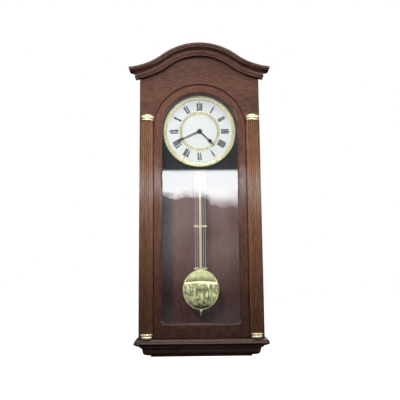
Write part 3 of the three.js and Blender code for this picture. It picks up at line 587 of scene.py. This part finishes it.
def make_base():
    rings = []
    stations = 9
    for i in range(stations):
        share = -1 + 2 * i / (stations - 1)
        rings.append([place(share * (HALF + reach - MITRE), -reach, z) for reach, z in BASE_SECTION])
    build("base_front", rings, "wood_path", "case", ["base_moulding"],
          grain=path_grain(rings))
    make_returns("base_side", "base_return", BASE_SECTION)


# ---- columns --------------------------------------------------------------------------------

FLUTES = 7
FLUTE_DEPTH = 2.2
COLUMN_REACH = 11


def fluted_outline(half):
    """A half column from above as (x, depth, share of the flute's depth).

    Its flutes are hollow, with a narrow fillet between them.
    """
    steps = 10
    fillet = 0.13  # share of a flute's width that is flat on either side
    margin = 0.06  # share of the half turn that is plain at either end
    points = [(half, -TOUCH, 0)]
    for i in range(FLUTES * steps + 1):
        angle = math.pi * (margin + (1 - 2 * margin) * i / (FLUTES * steps))
        share = (i % steps) / steps
        inside = min(max((share - fillet) / (1 - 2 * fillet), 0), 1)
        hollow = math.sin(math.pi * inside) ** 0.8
        scale = 1 - FLUTE_DEPTH * hollow / half
        points.append((half * math.cos(angle) * scale, -COLUMN_REACH * math.sin(angle) * scale, hollow))
    points.append((-half, -TOUCH, 0))
    return points


# Collar sections: (radius, height above the collar's foot).
CAPITAL_SECTION = soften([
    (0, 0.3), (0, 0.3), (17, 0.3), (18, 1), (18.3, 2.8), (17.9, 4.6), (16.7, 5.5), (16.7, 5.5),
    (17.8, 6.4), (18.5, 9), (18.5, 12), (17.4, 15), (15, 16.7), (15, 16.7), (0, 16.7), (0, 16.7),
])
FOOT_SECTION = soften([
    (0, 0.1), (0, 0.1), (15.4, 0.1), (16, 0.8), (16, 4.4), (15.2, 5.8), (15, 6.6), (15, 6.6),
    (16.8, 7.2), (17.6, 9.2), (17.2, 11.6), (15.4, 13), (15.4, 13), (0, 13), (0, 13),
])
COLLAR_FLATTEN = 0.74
BEADS = 33
CAPITAL_BEADS = (10.5, 2.6, 0.25)  # the row's height, its spread and its depth
FOOT_BEADS = (9.4, 1.8, 0.15)


def make_collar(name, node, section, x, foot, beads):
    """A cast brass collar, half round, with a row of fine beads round its widest part."""
    steps = 4 * BEADS
    bead_height, bead_spread, bead_depth = beads
    rings = []
    for i in range(steps + 1):
        angle = math.pi * (i / steps - 0.5)
        ring = []
        for radius, height in section:
            swell = bead_depth * math.exp(-(((height - bead_height) / bead_spread) ** 2))
            r = radius + swell * (abs(math.cos(BEADS * angle)) - 1) if radius > 12 else radius
            depth = min(-TOUCH, -COLLAR_FLATTEN * r * math.cos(angle))
            ring.append(place(x + r * math.sin(angle), depth, foot + height))
        rings.append(ring)
    build(name, rings, "brass", "case", [node], crease=40)


def make_columns():
    for name, _ in SIDES:
        low, high = limits(f"{name}_column")
        x = (low[0] + high[0]) / 2
        outline = fluted_outline((high[0] - low[0]) / 2)
        rings = [[place(x + a, b, z) for a, b, _ in outline] for z in (low[2], high[2])]
        hollow = [share for _, _, share in outline] * len(rings)
        build(f"{name}_fluted_column", rings, "column", "case", [f"{name}_column"],
              crease=50, hollow=hollow)
        node = f"{name}_capital"
        foot = limits(node)[0][2] - CAPITAL_SECTION[0][1]
        make_collar(f"{name}_capital_cast", node, CAPITAL_SECTION, x, foot, CAPITAL_BEADS)
        node = f"{name}_column_base"
        foot = limits(node)[0][2] - FOOT_SECTION[0][1]
        make_collar(f"{name}_foot_cast", node, FOOT_SECTION, x, foot, FOOT_BEADS)


# ---- door -----------------------------------------------------------------------------------

DOOR_HALF = limits("door_right_stile")[1][0]
DOOR_FOOT = limits("door_bottom_rail")[0][2]
DOOR_FACE, DOOR_BACK = (corner[1] for corner in limits("door_arch_rail"))
OPENING = limits("door_right_stile")[0][0]
SILL = 36  # foot of the opening
CORNER = 9  # its rounded lower corners
PANE_CORNER = 2.5
LEDGE = 11.5  # depth of the ledge that the glass rests on
REBATE = 5
LAP = 1.4  # how far the frame goes past the CAD's, for a narrow seam beside the columns

# Inner moulding of the door: (out from the opening, depth), from the glass to the flat face.
DOOR_MOULDING = soften([
    (0, LEDGE), (0, LEDGE), (0, 8.4), (0.3, 6.6), (1.6, 4.9), (3.4, 4.1), (5, 3.9), (5, 3.9),
    (5, 3.2), (5, 3.2), (5.3, DOOR_FACE), (5.3, DOOR_FACE), (6.4, DOOR_FACE), (6.4, DOOR_FACE),
])


def door_section(width):
    """The closed frame section, where the CAD's frame is this wide."""
    rounding = 1.4
    width += LAP
    outer = [
        (width - rounding - 0.2, DOOR_FACE),
        (width - rounding, DOOR_FACE),
        (width - rounding * 0.4, DOOR_FACE + rounding * 0.25),
        (width, DOOR_FACE + rounding),
        (width, DOOR_BACK),
        (REBATE, DOOR_BACK),
        (REBATE, LEDGE),
    ]
    return DOOR_MOULDING + outer


def make_arch_rail():
    steps = 96
    seam = 0.1
    rings = []
    grain = []
    start = math.asin(seam / OPENING)
    for i in range(steps + 1):
        angle = start + (math.pi - 2 * start) * i / steps
        ring = []
        for out, depth in door_section(DOOR_HALF - OPENING):
            radius = OPENING + out
            ring.append(place(radius * math.cos(angle), depth, DIAL_Z + radius * math.sin(angle)))
            grain.append((radius * MM, depth * MM, radius * angle * MM))
        rings.append(ring)
    build("door_arch", rings, "wood_path", "door", ["door_arch_rail"], grain=grain)


def lower_door_stations():
    """Points of the opening's edge from right spring line to left, each with its way outward.

    The way outward ends on the door's outer edge, a distance away that is given too.
    """
    stations = []
    spring = DIAL_Z - 0.1
    for z in (spring, (spring + SILL + CORNER) / 2, SILL + CORNER):
        stations.append(((OPENING, z), (1, 0), DOOR_HALF - OPENING))
    centre = (OPENING - CORNER, SILL + CORNER)
    outer_corner = math.atan2(centre[1] - DOOR_FOOT, DOOR_HALF - centre[0])
    turns = sorted([math.pi / 2 * i / 12 for i in range(1, 12)] + [outer_corner])
    for turn in turns:
        out = (math.cos(turn), -math.sin(turn))
        edge = (centre[0] + CORNER * out[0], centre[1] + CORNER * out[1])
        across = (DOOR_HALF - edge[0]) / out[0]
        down = (DOOR_FOOT - edge[1]) / out[1]
        stations.append((edge, out, min(across, down)))
    for x in (OPENING - CORNER, 0):
        stations.append(((x, SILL), (0, -1), SILL - DOOR_FOOT))
    mirrored = [((-e[0], e[1]), (-o[0], o[1]), far) for e, o, far in stations[-2::-1]]
    return stations + mirrored


def lower_door_mesh():
    """The stiles and the bottom rail in one run, to be cut where they meet."""
    rings = []
    for edge, out, far in lower_door_stations():
        ring = []
        for distance, depth in door_section(far):
            ring.append(place(edge[0] + out[0] * distance, depth, edge[1] + out[1] * distance))
        rings.append(ring)
    vertices, faces = loft(rings)
    bm = bmesh.new()
    corners = [bm.verts.new(v) for v in vertices]
    for face in faces:
        bm.faces.new([corners[i] for i in face])
    return bm


def cut_away(bm, x, keep):
    """Keeps the part of bm on one side of the upright plane at x, and closes the cut."""
    geometry = bm.verts[:] + bm.edges[:] + bm.faces[:]
    bmesh.ops.bisect_plane(
        bm, geom=geometry, dist=1e-7, plane_co=(x * MM, 0, 0), plane_no=(-keep, 0, 0), clear_outer=True
    )
    rim = [edge for edge in bm.edges if edge.is_boundary]
    bmesh.ops.holes_fill(bm, edges=rim, sides=0)


def make_door():
    make_arch_rail()
    for name, side in SIDES:
        bm = lower_door_mesh()
        cut_away(bm, side * OPENING, side)
        mesh = bpy.data.meshes.new(f"door_stile_{name}")
        finish_piece(f"door_stile_{name}", mesh, bm, "wood_z", "door",
                     [f"door_{name}_stile"])
    bm = lower_door_mesh()
    inside = OPENING - 0.2
    cut_away(bm, -inside, 1)
    cut_away(bm, inside, -1)
    mesh = bpy.data.meshes.new("door_sill_rail")
    finish_piece("door_sill_rail", mesh, bm, "wood_x", "door", ["door_bottom_rail"])

    low, high = limits("door_glass")
    outline = round_headed(high[0], low[2], PANE_CORNER)
    slab("door_pane", outline, (low[1], high[1]), "glass", "door", ["door_glass"],
         edge=0.3)


def round_headed(half, foot, corner, steps=72):
    """A round-headed outline about the dial centre, with rounded lower corners."""
    points = []
    for i in range(steps + 1):
        angle = math.pi * i / steps
        points.append((half * math.cos(angle), DIAL_Z + half * math.sin(angle)))
    corner_steps = 8
    for side, first in ((-1, math.pi), (1, 1.5 * math.pi)):
        for i in range(corner_steps + 1):
            angle = first + math.pi / 2 * i / corner_steps
            x = side * (half - corner) + corner * math.cos(angle)
            points.append((x, foot + corner + corner * math.sin(angle)))
    return points


# ---- dial -----------------------------------------------------------------------------------

# Bezel section: (in from its outer radius, depth).
BEZEL_SECTION = soften([
    (1, 29.7), (1, 29.7), (0, 28.6), (0, 25.8), (0.7, 23.8), (2.4, 23), (4.2, 23.2), (5.4, 24.6),
    (5.6, 25.4), (5.6, 25.4), (6.4, 25.6), (6.4, 25.6), (9.4, 26.2), (11.4, 27.2), (12, 27.7),
    (12, 27.7), (1.5, 27.7), (1.5, 27.7), (1.5, 29.7), (1.5, 29.7),
])
# Centre ring section: (radius, depth).
RING_SECTION = soften([
    (45.2, 27.85), (45.2, 27.85), (45.3, 27.3), (46, 26.9), (47.2, 27), (47.8, 27.5), (48.2, 27.6),
    (50, 27.6), (50.4, 27.5), (51, 27), (52.2, 26.9), (52.9, 27.3), (53, 27.85), (53, 27.85),
])


def make_round(name, section, look, replaces=(), steps=160, body="case"):
    """A piece turned about the middle of the dial."""
    rings = turned(section, (DIAL_X, 0, DIAL_Z), "depth", steps)
    build(name, rings, look, body, replaces, ringed=True)


def dial_point(radius, angle, along=0.0, across=0.0):
    """A place on the dial, clockwise from twelve, with a step outward and a step clockwise."""
    r = radius + along
    x = r * math.sin(angle) + across * math.cos(angle)
    z = r * math.cos(angle) - across * math.sin(angle)
    return DIAL_X + x, DIAL_Z + z


NUMERALS = ("XII", "I", "II", "III", "IIII", "V", "VI", "VII", "VIII", "IX", "X", "XI")
NUMERAL_FOOT = 56.2  # radius of the feet of the numerals
NUMERAL_TALL = 20
LETTER_GAP = 1.0
THICK, THIN, SERIF = 3.3, 1.6, 0.9
MINUTE_TRACK = 79.2  # radius of the ring of minute marks
HAND_HOLE = 5.4  # radius of the dial's hole for the hands' pipes


def letter_strokes(letter):
    """The width of a Roman letter, and its strokes as outlines of (across, up)."""
    t = NUMERAL_TALL

    def bar(low_x, high_x, low, high):
        return [(low_x, low), (high_x, low), (high_x, high), (low_x, high)]

    def serif(left, right, top):
        return bar(left, right, t - SERIF, t) if top else bar(left, right, 0, SERIF)

    if letter == "I":
        return THICK, [bar(0, THICK, 0, t), serif(-0.5, THICK + 0.5, 0), serif(-0.5, THICK + 0.5, 1)]
    if letter == "V":
        width = 6.8
        foot = 3.9
        heavy = [(foot - 0.6, 0), (foot + 0.4, 0), (THICK + 0.3, t), (0, t)]
        light = [(foot - 0.3, 0), (foot + 0.4, 0), (width, t), (width - THIN, t)]
        return width, [heavy, light, serif(-0.5, THICK + 0.8, 1), serif(width - 1.6, width + 0.5, 1)]
    width = 6.6
    heavy = [(width - THICK - 0.3, 0), (width, 0), (THICK + 0.3, t), (0, t)]
    light = [(0.2, 0), (0.2 + THIN, 0), (width - 0.2, t), (width - 0.2 - THIN, t)]
    feet = [serif(-0.5, 1.7, 0), serif(width - THICK - 0.8, width + 0.5, 0)]
    return width, [heavy, light, *feet, serif(-0.5, THICK + 0.8, 1), serif(width - 1.8, width + 0.5, 1)]


def printed(name, outlines, look, lift=0.05):
    """Print on the dial: each outline becomes a very thin plate on its face."""
    face = limits("dial_plate")[0][1]
    vertices = []
    faces = []
    for line in outlines:
        start = len(vertices)
        count = len(line)
        for depth in (face - lift, face + lift):
            vertices += [place(x, depth, z) for x, z in line]
        faces.append(tuple(range(start, start + count)))
        faces.append(tuple(reversed(range(start + count, start + 2 * count))))
        for i in range(count):
            j = (i + 1) % count
            faces.append((start + i, start + count + i, start + count + j, start + j))
    mesh = bpy.data.meshes.new(name)
    mesh.from_pydata(vertices, [], faces)
    bm = bmesh.new()
    bm.from_mesh(mesh)
    finish_piece(name, mesh, bm, look, "case")


def numeral_outlines():
    outlines = []
    for hour, text in enumerate(NUMERALS):
        angle = math.pi * hour / 6
        letters = [letter_strokes(letter) for letter in text]
        total = sum(width for width, _ in letters) + LETTER_GAP * (len(letters) - 1)
        start = -total / 2
        for width, strokes in letters:
            for stroke in strokes:
                outlines.append([
                    dial_point(NUMERAL_FOOT, angle, up, start + across) for across, up in stroke
                ])
            start += width + LETTER_GAP
    return outlines


def make_dial():
    low, high = limits("dial_plate")
    face, rear = low[1], high[1]
    radius = reach_of("dial_plate")
    section = [(HAND_HOLE, rear), (HAND_HOLE, face), (radius, face), (radius, rear)]
    make_round("dial_face", section, "dial_white", ["dial_plate"])
    outer = reach_of("dial_bezel")
    section = [(outer - inward, depth) for inward, depth in BEZEL_SECTION]
    make_round("bezel", section, "brass", ["dial_bezel"], 200)
    make_round("centre_ring", RING_SECTION, "brass", ["dial_centre_ring"])

    printed("dial_numerals", numeral_outlines(), "dial_ink")
    diamonds = []
    ticks = []
    for minute in range(60):
        angle = math.pi * minute / 30
        if minute % 5:
            corners = ((-0.9, -0.16), (0.9, -0.16), (0.9, 0.16), (-0.9, 0.16))
            ticks.append([dial_point(MINUTE_TRACK, angle, a, b) for a, b in corners])
        else:
            corners = ((-1.9, 0), (0, -1.6), (1.9, 0), (0, 1.6))
            diamonds.append([dial_point(MINUTE_TRACK, angle, a, b) for a, b in corners])
    printed("dial_hour_dots", diamonds, "dial_ink")
    printed("dial_minute_ticks", ticks, "track_grey", 0.04)


# Hand outlines: (distance from the hub, half width).
HOUR_OUTLINE = soften([
    (-4, 1.2), (-4, 1.2), (0, 1.9), (22, 1.5), (30.5, 1.3), (33, 2.6), (35.6, 4.7),
    (38.6, 5.1), (41.4, 3.8), (43, 1.7), (44.5, 1.4), (50, 1), (56, 0.25), (56, 0.25),
])
MINUTE_OUTLINE = soften([
    (-4, 1.2), (-4, 1.2), (0, 1.6), (38, 1.2), (46, 1.1), (48.5, 2), (51, 3.1),
    (53.6, 3.4), (56.4, 2.6), (58, 1.5), (60, 1.2), (68, 0.8), (76, 0.2), (76, 0.2),
])
HOUR_ANGLE = math.radians(134.5)
MINUTE_ANGLE = math.radians(245.5)


def make_hand(name, outline, angle, hub):
    """A flat blade on a round boss of radius hub."""
    low, high = limits(name)
    sides = [dial_point(0, angle, along, half) for along, half in outline]
    sides += [dial_point(0, angle, along, -half) for along, half in reversed(outline)]
    slab(f"{name}_blade", tidy_line(sides), (low[1], high[1]), "black_paint", name,
         [name], edge=0.18)
    front, rear = low[1] - 0.5, high[1] - 0.05
    profile = soften([
        (0, front), (0, front), (hub - 1, front), (hub, front + 0.4), (hub, front + 0.4), (hub, rear),
        (hub, rear), (0, rear),
    ])
    make_round(f"{name}_boss", profile, "black_paint", steps=64, body=name)


def make_hands():
    make_hand("hour_hand", HOUR_OUTLINE, HOUR_ANGLE, 6.2)
    make_hand("minute_hand", MINUTE_OUTLINE, MINUTE_ANGLE, 5.4)
    front, rear = (corner[1] for corner in limits("hand_nut"))
    dome = soften([
        (0, front), (0, front), (1.6, front), (2.8, front + 0.8), (3, front + 1.6),
        (3, rear), (3, rear), (0, rear), (0, rear),
    ])
    make_round("hand_nut_dome", dome, "black_paint", ["hand_nut"], 40, "minute_hand")


# ---- pendulum -------------------------------------------------------------------------------


STRIP_HALF = 3.15  # half the width of the flat strip
STRIP_THICK = 1.6
STRIP_FOOT = 72
EYE_HOLE = 1.58  # radius of the hole that hangs on the fork
THREAD_RADIUS = 1.5
THREAD_DEPTH = 0.18
THREAD_PITCH = 0.7
THREAD_TURNS = 48
ROD_OFFSETS = (-13.1, -7.7, 7.7, 13.1)
ROD_RADIUS = 1.0
BAR_REACH = 15  # from the middle of a crossbar to where its end starts to round
BAR_HALF = 2.7  # half its height
MIDDLE_BAR = 277.5  # height of the middle crossbar


def circle(x, y, radius, steps):
    turns = [2 * math.pi * i / steps for i in range(steps)]
    return [(x + radius * math.cos(turn), y + radius * math.sin(turn)) for turn in turns]


def make_strip():
    low, high = limits("pendulum_strip")
    _, depth, _ = middle("pendulum_strip")
    half = reach_of("pendulum_strip")
    thick = (depth - STRIP_THICK / 2, depth + STRIP_THICK / 2)
    pivot = high[2] - half
    outline = [(-STRIP_HALF, STRIP_FOOT), (STRIP_HALF, STRIP_FOOT)]
    eye_steps = 28
    join = math.asin(STRIP_HALF / half)
    for i in range(eye_steps + 1):
        angle = join - math.pi + (2 * math.pi - 2 * join) * i / eye_steps
        outline.append((-half * math.sin(angle), pivot + half * math.cos(angle)))
    slab("pendulum_rod", outline, thick, "brushed_brass", "pendulum",
         ["pendulum_strip"], edge=0.35, holes=[circle(0, pivot, EYE_HOLE, 24)])

    thread = []
    for i in range(THREAD_TURNS * 2 + 1):
        thread.append((THREAD_RADIUS - THREAD_DEPTH * (i % 2), low[2] + i * THREAD_PITCH / 2))
    section = [(0, low[2]), *thread, (0, thread[-1][1])]
    rings = turned(section, (0, depth, 0), "height", 24)
    build("pendulum_thread", rings, "brushed_brass", "pendulum", ringed=True,
          crease=20)


def make_grid():
    low, high = limits("pendulum_grid")
    _, depth, _ = middle("pendulum_grid")
    bar_heights = (high[2] - BAR_HALF, MIDDLE_BAR, low[2] + BAR_HALF)
    for number, offset in enumerate(ROD_OFFSETS, 1):
        section = circle(offset, depth, ROD_RADIUS, 20)
        rings = [[place(x, y, z) for x, y in section] for z in (bar_heights[2], bar_heights[0])]
        replaced = ["pendulum_grid"] if number == 1 else []
        build(f"grid_rod_{number}", rings, "rod_steel", "pendulum", replaced)
    for number, height in enumerate(bar_heights, 1):
        slab(f"grid_bar_{number}", capsule(BAR_REACH, height, BAR_HALF), (low[1], high[1]), "brass",
             "pendulum", edge=0.8)


def capsule(half, height, radius, steps=12):
    """A level bar's outline with round ends."""
    points = []
    for side, first in ((1, -math.pi / 2), (-1, math.pi / 2)):
        for i in range(steps + 1):
            angle = first + math.pi * i / steps
            points.append((side * half + radius * math.cos(angle), height + radius * math.sin(angle)))
    return points


def narrowed(rings, share):
    """The rings squeezed sideways about the middle of the clock."""
    return [[Vector((p.x * share, p.y, p.z)) for p in ring] for ring in rings]


def make_bob():
    """A domed dish with a rolled rim, closed behind by a flat disc. It is narrower than tall."""
    low, high = limits("bob_face")
    x, _, height = middle("bob_face")
    radius = (high[2] - low[2]) / 2
    oval = reach_of("bob_face") / radius
    crown, rear = low[1], high[1]
    rim = rear - 3.4  # depth of the edge of the dome
    steps = 26
    dome = []
    for i in range(steps + 1):
        share = i / steps
        dome.append((radius * 0.955 * share, crown + (rim - crown) * share ** 2))
    edge = soften([
        dome[-1], (radius * 0.972, rim + 0.1), (radius * 0.99, rim + 0.3), (radius, rim + 1.2),
        (radius, rear - 0.6), (radius - 0.8, rear), (radius - 2.6, rear), (radius - 2.6, rear),
    ])
    inner = [(r - 0.2, d + 0.7) for r, d in reversed(dome[:-1]) if r > 4.2]
    section = dome + edge[1:] + [(radius - 3.6, rim + 1)] + inner
    section = [(max(r, 0), d) for r, d in section]
    rings = narrowed(turned(tidy_line(section), (x, 0, height), "depth", 144), oval)
    build("bob_dish", rings, "bob_brass", "bob", ["bob_face"], ringed=True)

    front, rear = (corner[1] for corner in limits("bob_back"))
    disc = 46
    back = [
        (0, front), (disc - 0.6, front), (disc, front + 0.4), (disc, rear - 0.4), (disc - 0.6, rear),
        (0, rear),
    ]
    rings = narrowed(turned(back, (x, 0, height), "depth", 96), oval)
    build("bob_disc", rings, "steel", "bob", ["bob_back"], ringed=True)


KNURLS = 32
KNURL_DEPTH = 0.22


def make_rating_nut():
    x, depth, _ = middle("rating_nut")
    top = limits("rating_nut")[1][2]
    section = [
        (1.6, top), (4, top), (4.6, top - 0.7), (4.6, top - 4), (4.2, top - 4.6), (3.2, top - 5),
        (2.9, top - 8), (2.4, top - 9), (1.6, top - 9),
    ]

    def knurl(radius, angle):
        return radius - KNURL_DEPTH * math.sin(KNURLS / 2 * angle) ** 2 if radius > 4.5 else radius

    rings = turned(section, (x, depth, 0), "height", 4 * KNURLS, knurl)
    build("rating_nut_knurled", rings, "brass", "rating_nut", ["rating_nut"],
          ringed=True)


# ---- boards and works that keep their CAD shape -----------------------------------------------

CAD_LOOKS = {
    "wood_z": ("left_side_panel", "right_side_panel", "left_stile", "right_stile"),
    "dark_wood": ("bottom_board", "base_plate"),
    "veneer": ("back_panel",),
    "plywood": ("hanging_rail", "access_panel"),
    "bronze": ("upper_hinge_case_leaf", "upper_hinge_door_leaf", "lower_hinge_case_leaf",
               "lower_hinge_door_leaf"),
    "gear_brass": ("minute_arbor", "hour_wheel", "dial_nut"),
    "steel": ("hanger_plate", "pendulum_fork", "strike_plate"),
    "black_board": ("dial_board",),
    "black_plastic": ("glass_retainer", "magnet_catch", "movement_housing", "movement_back_cover",
                      "battery_cover"),
    "white_plastic": ("minute_wheel", "setting_knob", "step_motor"),
    "copper": ("drive_coil",),
    "cell": ("battery_cell",),
}
BEVELS = {
    0.8: ("left_side_panel", "right_side_panel", "bottom_board", "base_plate"),
    0.5: ("left_stile", "right_stile", "hanging_rail", "access_panel", "dial_board",
          "movement_housing", "battery_cover", "movement_back_cover", "magnet_catch"),
    0.2: ("hanger_plate", "strike_plate", "step_motor", "setting_knob"),
}


def dress_cad():
    for look, nodes in CAD_LOOKS.items():
        for node in nodes:
            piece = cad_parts[node]
            piece.data.materials.clear()
            piece.data.materials.append(looks[look])
    for width, nodes in BEVELS.items():
        for node in nodes:
            round_edges(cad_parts[node], width)


# ---- stage ----------------------------------------------------------------------------------


def stage_sheet(name, corners, material):
    mesh = bpy.data.meshes.new(name)
    mesh.from_pydata(corners, [], [tuple(range(len(corners)))])
    mesh.materials.append(material)
    sheet = bpy.data.objects.new(name, mesh)
    bpy.context.scene.collection.objects.link(sheet)
    return sheet


def make_floor():
    material, tree, shader = blank("pale floor")
    run = stretched(tree, "Z", 1.0)
    tone = remap(tree, noise(tree, run, 3, 4.0), 0.3, 0.7)
    colour = blend_colour(tree, tone, (0.9, 0.9, 0.9, 1), (0.94, 0.94, 0.94, 1))
    tree.links.new(colour, shader.inputs["Base Color"])
    shader.inputs["Roughness"].default_value = 0.9
    shader.inputs["Emission Color"].default_value = (1, 1, 1, 1)
    shader.inputs["Emission Strength"].default_value = 1.0
    drop = 0.32
    z = cad_box[0][2] - drop
    half = 6
    corners = [(-half, -half, z), (half, -half, z), (half, half, z), (-half, half, z)]
    floor = stage_sheet("floor", corners, material)
    floor.visible_diffuse = False
    floor.visible_glossy = False


def area_light(name, place_at, target, size, power, colour=(1, 1, 1)):
    data = bpy.data.lights.new(name, "AREA")
    data.shape = "RECTANGLE"
    data.size, data.size_y = size
    data.energy = power
    data.color = colour
    light = bpy.data.objects.new(name, data)
    light.location = place_at
    light.rotation_euler = (Vector(target) - Vector(place_at)).to_track_quat("-Z", "Y").to_euler()
    bpy.context.scene.collection.objects.link(light)
    return light


CARD_DEPTH = -1.6  # metres, as everywhere in the stage


def make_room_card():
    """What the glass and the bob mirror: a dim room in front, with a bright strip high up.

    Only reflections see it. It is dark and uneven low down, and its bright strip has a soft,
    ragged lower edge. The strip is much weaker for what hangs behind the glass, and the low room
    for what is in front of it.
    """
    material, tree = bare("room card")
    position = add_node(tree, "ShaderNodeTexCoord").outputs["Object"]
    parts = add_node(tree, "ShaderNodeSeparateXYZ", {"Vector": position}).outputs
    across, height = parts["X"], parts["Z"]
    passed = add_node(tree, "ShaderNodeLightPath").outputs["Transparent Depth"]
    glow_of_strip = remap(tree, passed, 0, 1, 11.5, 3.4)
    glow_of_room = remap(tree, passed, 0, 1, 0.3, 0.9)

    foot = remap(tree, across, -0.2, 0.14, -0.078, -0.135)
    ragged = remap(tree, noise(tree, position, 9, 3.0), 0.35, 0.65, -0.02, 0.02)
    lower = remap(tree, maths(tree, "ADD", height, ragged), foot, -0.055)
    upper = remap(tree, height, 0.05, 0.065, 1.0, 0.0)
    strip = maths(tree, "MULTIPLY", lower, upper)

    upright = add_node(tree, "ShaderNodeMapping", {"Vector": position, "Scale": (1, 1, 0.55)})
    spots = noise(tree, upright.outputs["Vector"], 4.5, 7.0, 0.72)
    clutter = remap(tree, spots, 0.42, 0.62, 0.02, 2.2)
    away = remap(tree, height, -2.3, -0.9, 0.12, 1.0)
    far = maths(tree, "MULTIPLY", clutter, maths(tree, "MULTIPLY", away, glow_of_room))
    veil = remap(tree, height, -0.62, -0.25, 0.12, 0.95)
    cloud = remap(tree, noise(tree, position, 4.5, 3.0), 0.35, 0.65, 0.6, 1.4)
    near = maths(tree, "MULTIPLY", veil, cloud)
    ends = {0: position, 1: (0, CARD_DEPTH, -0.35)}
    from_middle = add_node(tree, "ShaderNodeVectorMath", ends, operation="DISTANCE")
    near_share = remap(tree, from_middle.outputs["Value"], 0.32, 0.6, 1.0, 0.0)
    dim = mix_numbers(tree, near_share, far, near)

    rise = remap(tree, height, 0.15, 0.7, 0.35, 1.45)
    patches = remap(tree, spots, 0.4, 0.66, 0.7, 1.2)
    ceiling = maths(tree, "MULTIPLY", rise, patches)
    low_share = remap(tree, height, -0.1, 0.1, 1.0, 0.0)
    room = mix_numbers(tree, low_share, ceiling, dim)
    bright = mix_numbers(tree, strip, room, glow_of_strip)
    glow = {"Color": (0.95, 0.97, 1.0, 1), "Strength": bright}
    surface(tree, add_node(tree, "ShaderNodeEmission", glow))
    half, foot, top = 4, -3.8, 3.4
    places = ((-half, foot), (half, foot), (half, top), (-half, top))
    corners = [(x, CARD_DEPTH, z) for x, z in places]
    card = stage_sheet("room_card", corners, material)
    card.visible_camera = False
    card.visible_shadow = False
    card.visible_diffuse = False
    card.visible_transmission = False


def make_world():
    """White behind the clock, as in the photo; a much dimmer room, brighter overhead, lights it."""
    world = bpy.data.worlds.new("room")
    bpy.context.scene.world = world
    world.use_nodes = True
    tree = world.node_tree
    background = tree.nodes["Background"]
    direction = add_node(tree, "ShaderNodeTexCoord").outputs["Generated"]
    height = add_node(tree, "ShaderNodeSeparateXYZ", {"Vector": direction}).outputs["Z"]
    room = remap(tree, height, -0.2, 0.9, 0.01, 0.13)
    seen = add_node(tree, "ShaderNodeLightPath").outputs["Is Camera Ray"]
    tree.links.new(mix_numbers(tree, seen, room, 1.0), background.inputs["Strength"])
    background.inputs["Color"].default_value = (1, 1, 1, 1)


def light_stage():
    """A soft round lamp on the dial, whose light falls away up and down the case, and fills."""
    data = bpy.data.lights.new("lamp", "SPOT")
    data.energy = 132
    data.color = (1, 0.985, 0.96)
    data.shadow_soft_size = 0.16
    data.spot_size = math.radians(24.5)
    data.spot_blend = 1.0
    lamp = bpy.data.objects.new("lamp", data)
    lamp.location = (-0.38, -1.8, 0.35)
    aim = Vector((0.02, 0, -0.215)) - lamp.location
    lamp.rotation_euler = aim.to_track_quat("-Z", "Y").to_euler()
    lamp.visible_glossy = False
    bpy.context.scene.collection.objects.link(lamp)
    area_light("overhead", (0, -1, 1.3), (0, 0, -0.3), (1.2, 0.12), 9.5)
    bounce = area_light("bounce", (0, -0.8, -1.4), (0, -0.1, -0.66), (1.2, 0.5), 1.2, (1, 0.9, 0.8))
    bounce.visible_glossy = False
    area_light("side", (1.8, -0.5, 0.3), (0.1, 0, -0.25), (0.5, 0.9), 4.5, (1, 0.98, 0.96))
    area_light("back", (0.7, 1.7, 0.9), (0, 0, -0.25), (1.4, 1.2), 28)
    bpy.context.scene.view_settings.view_transform = "Standard"


make_crown()
make_roof()
make_frieze()
make_base()
make_columns()
make_door()
make_dial()
make_hands()
make_strip()
make_grid()
make_bob()
make_rating_nut()
dress_cad()
make_floor()
make_room_card()
make_world()
light_stage()
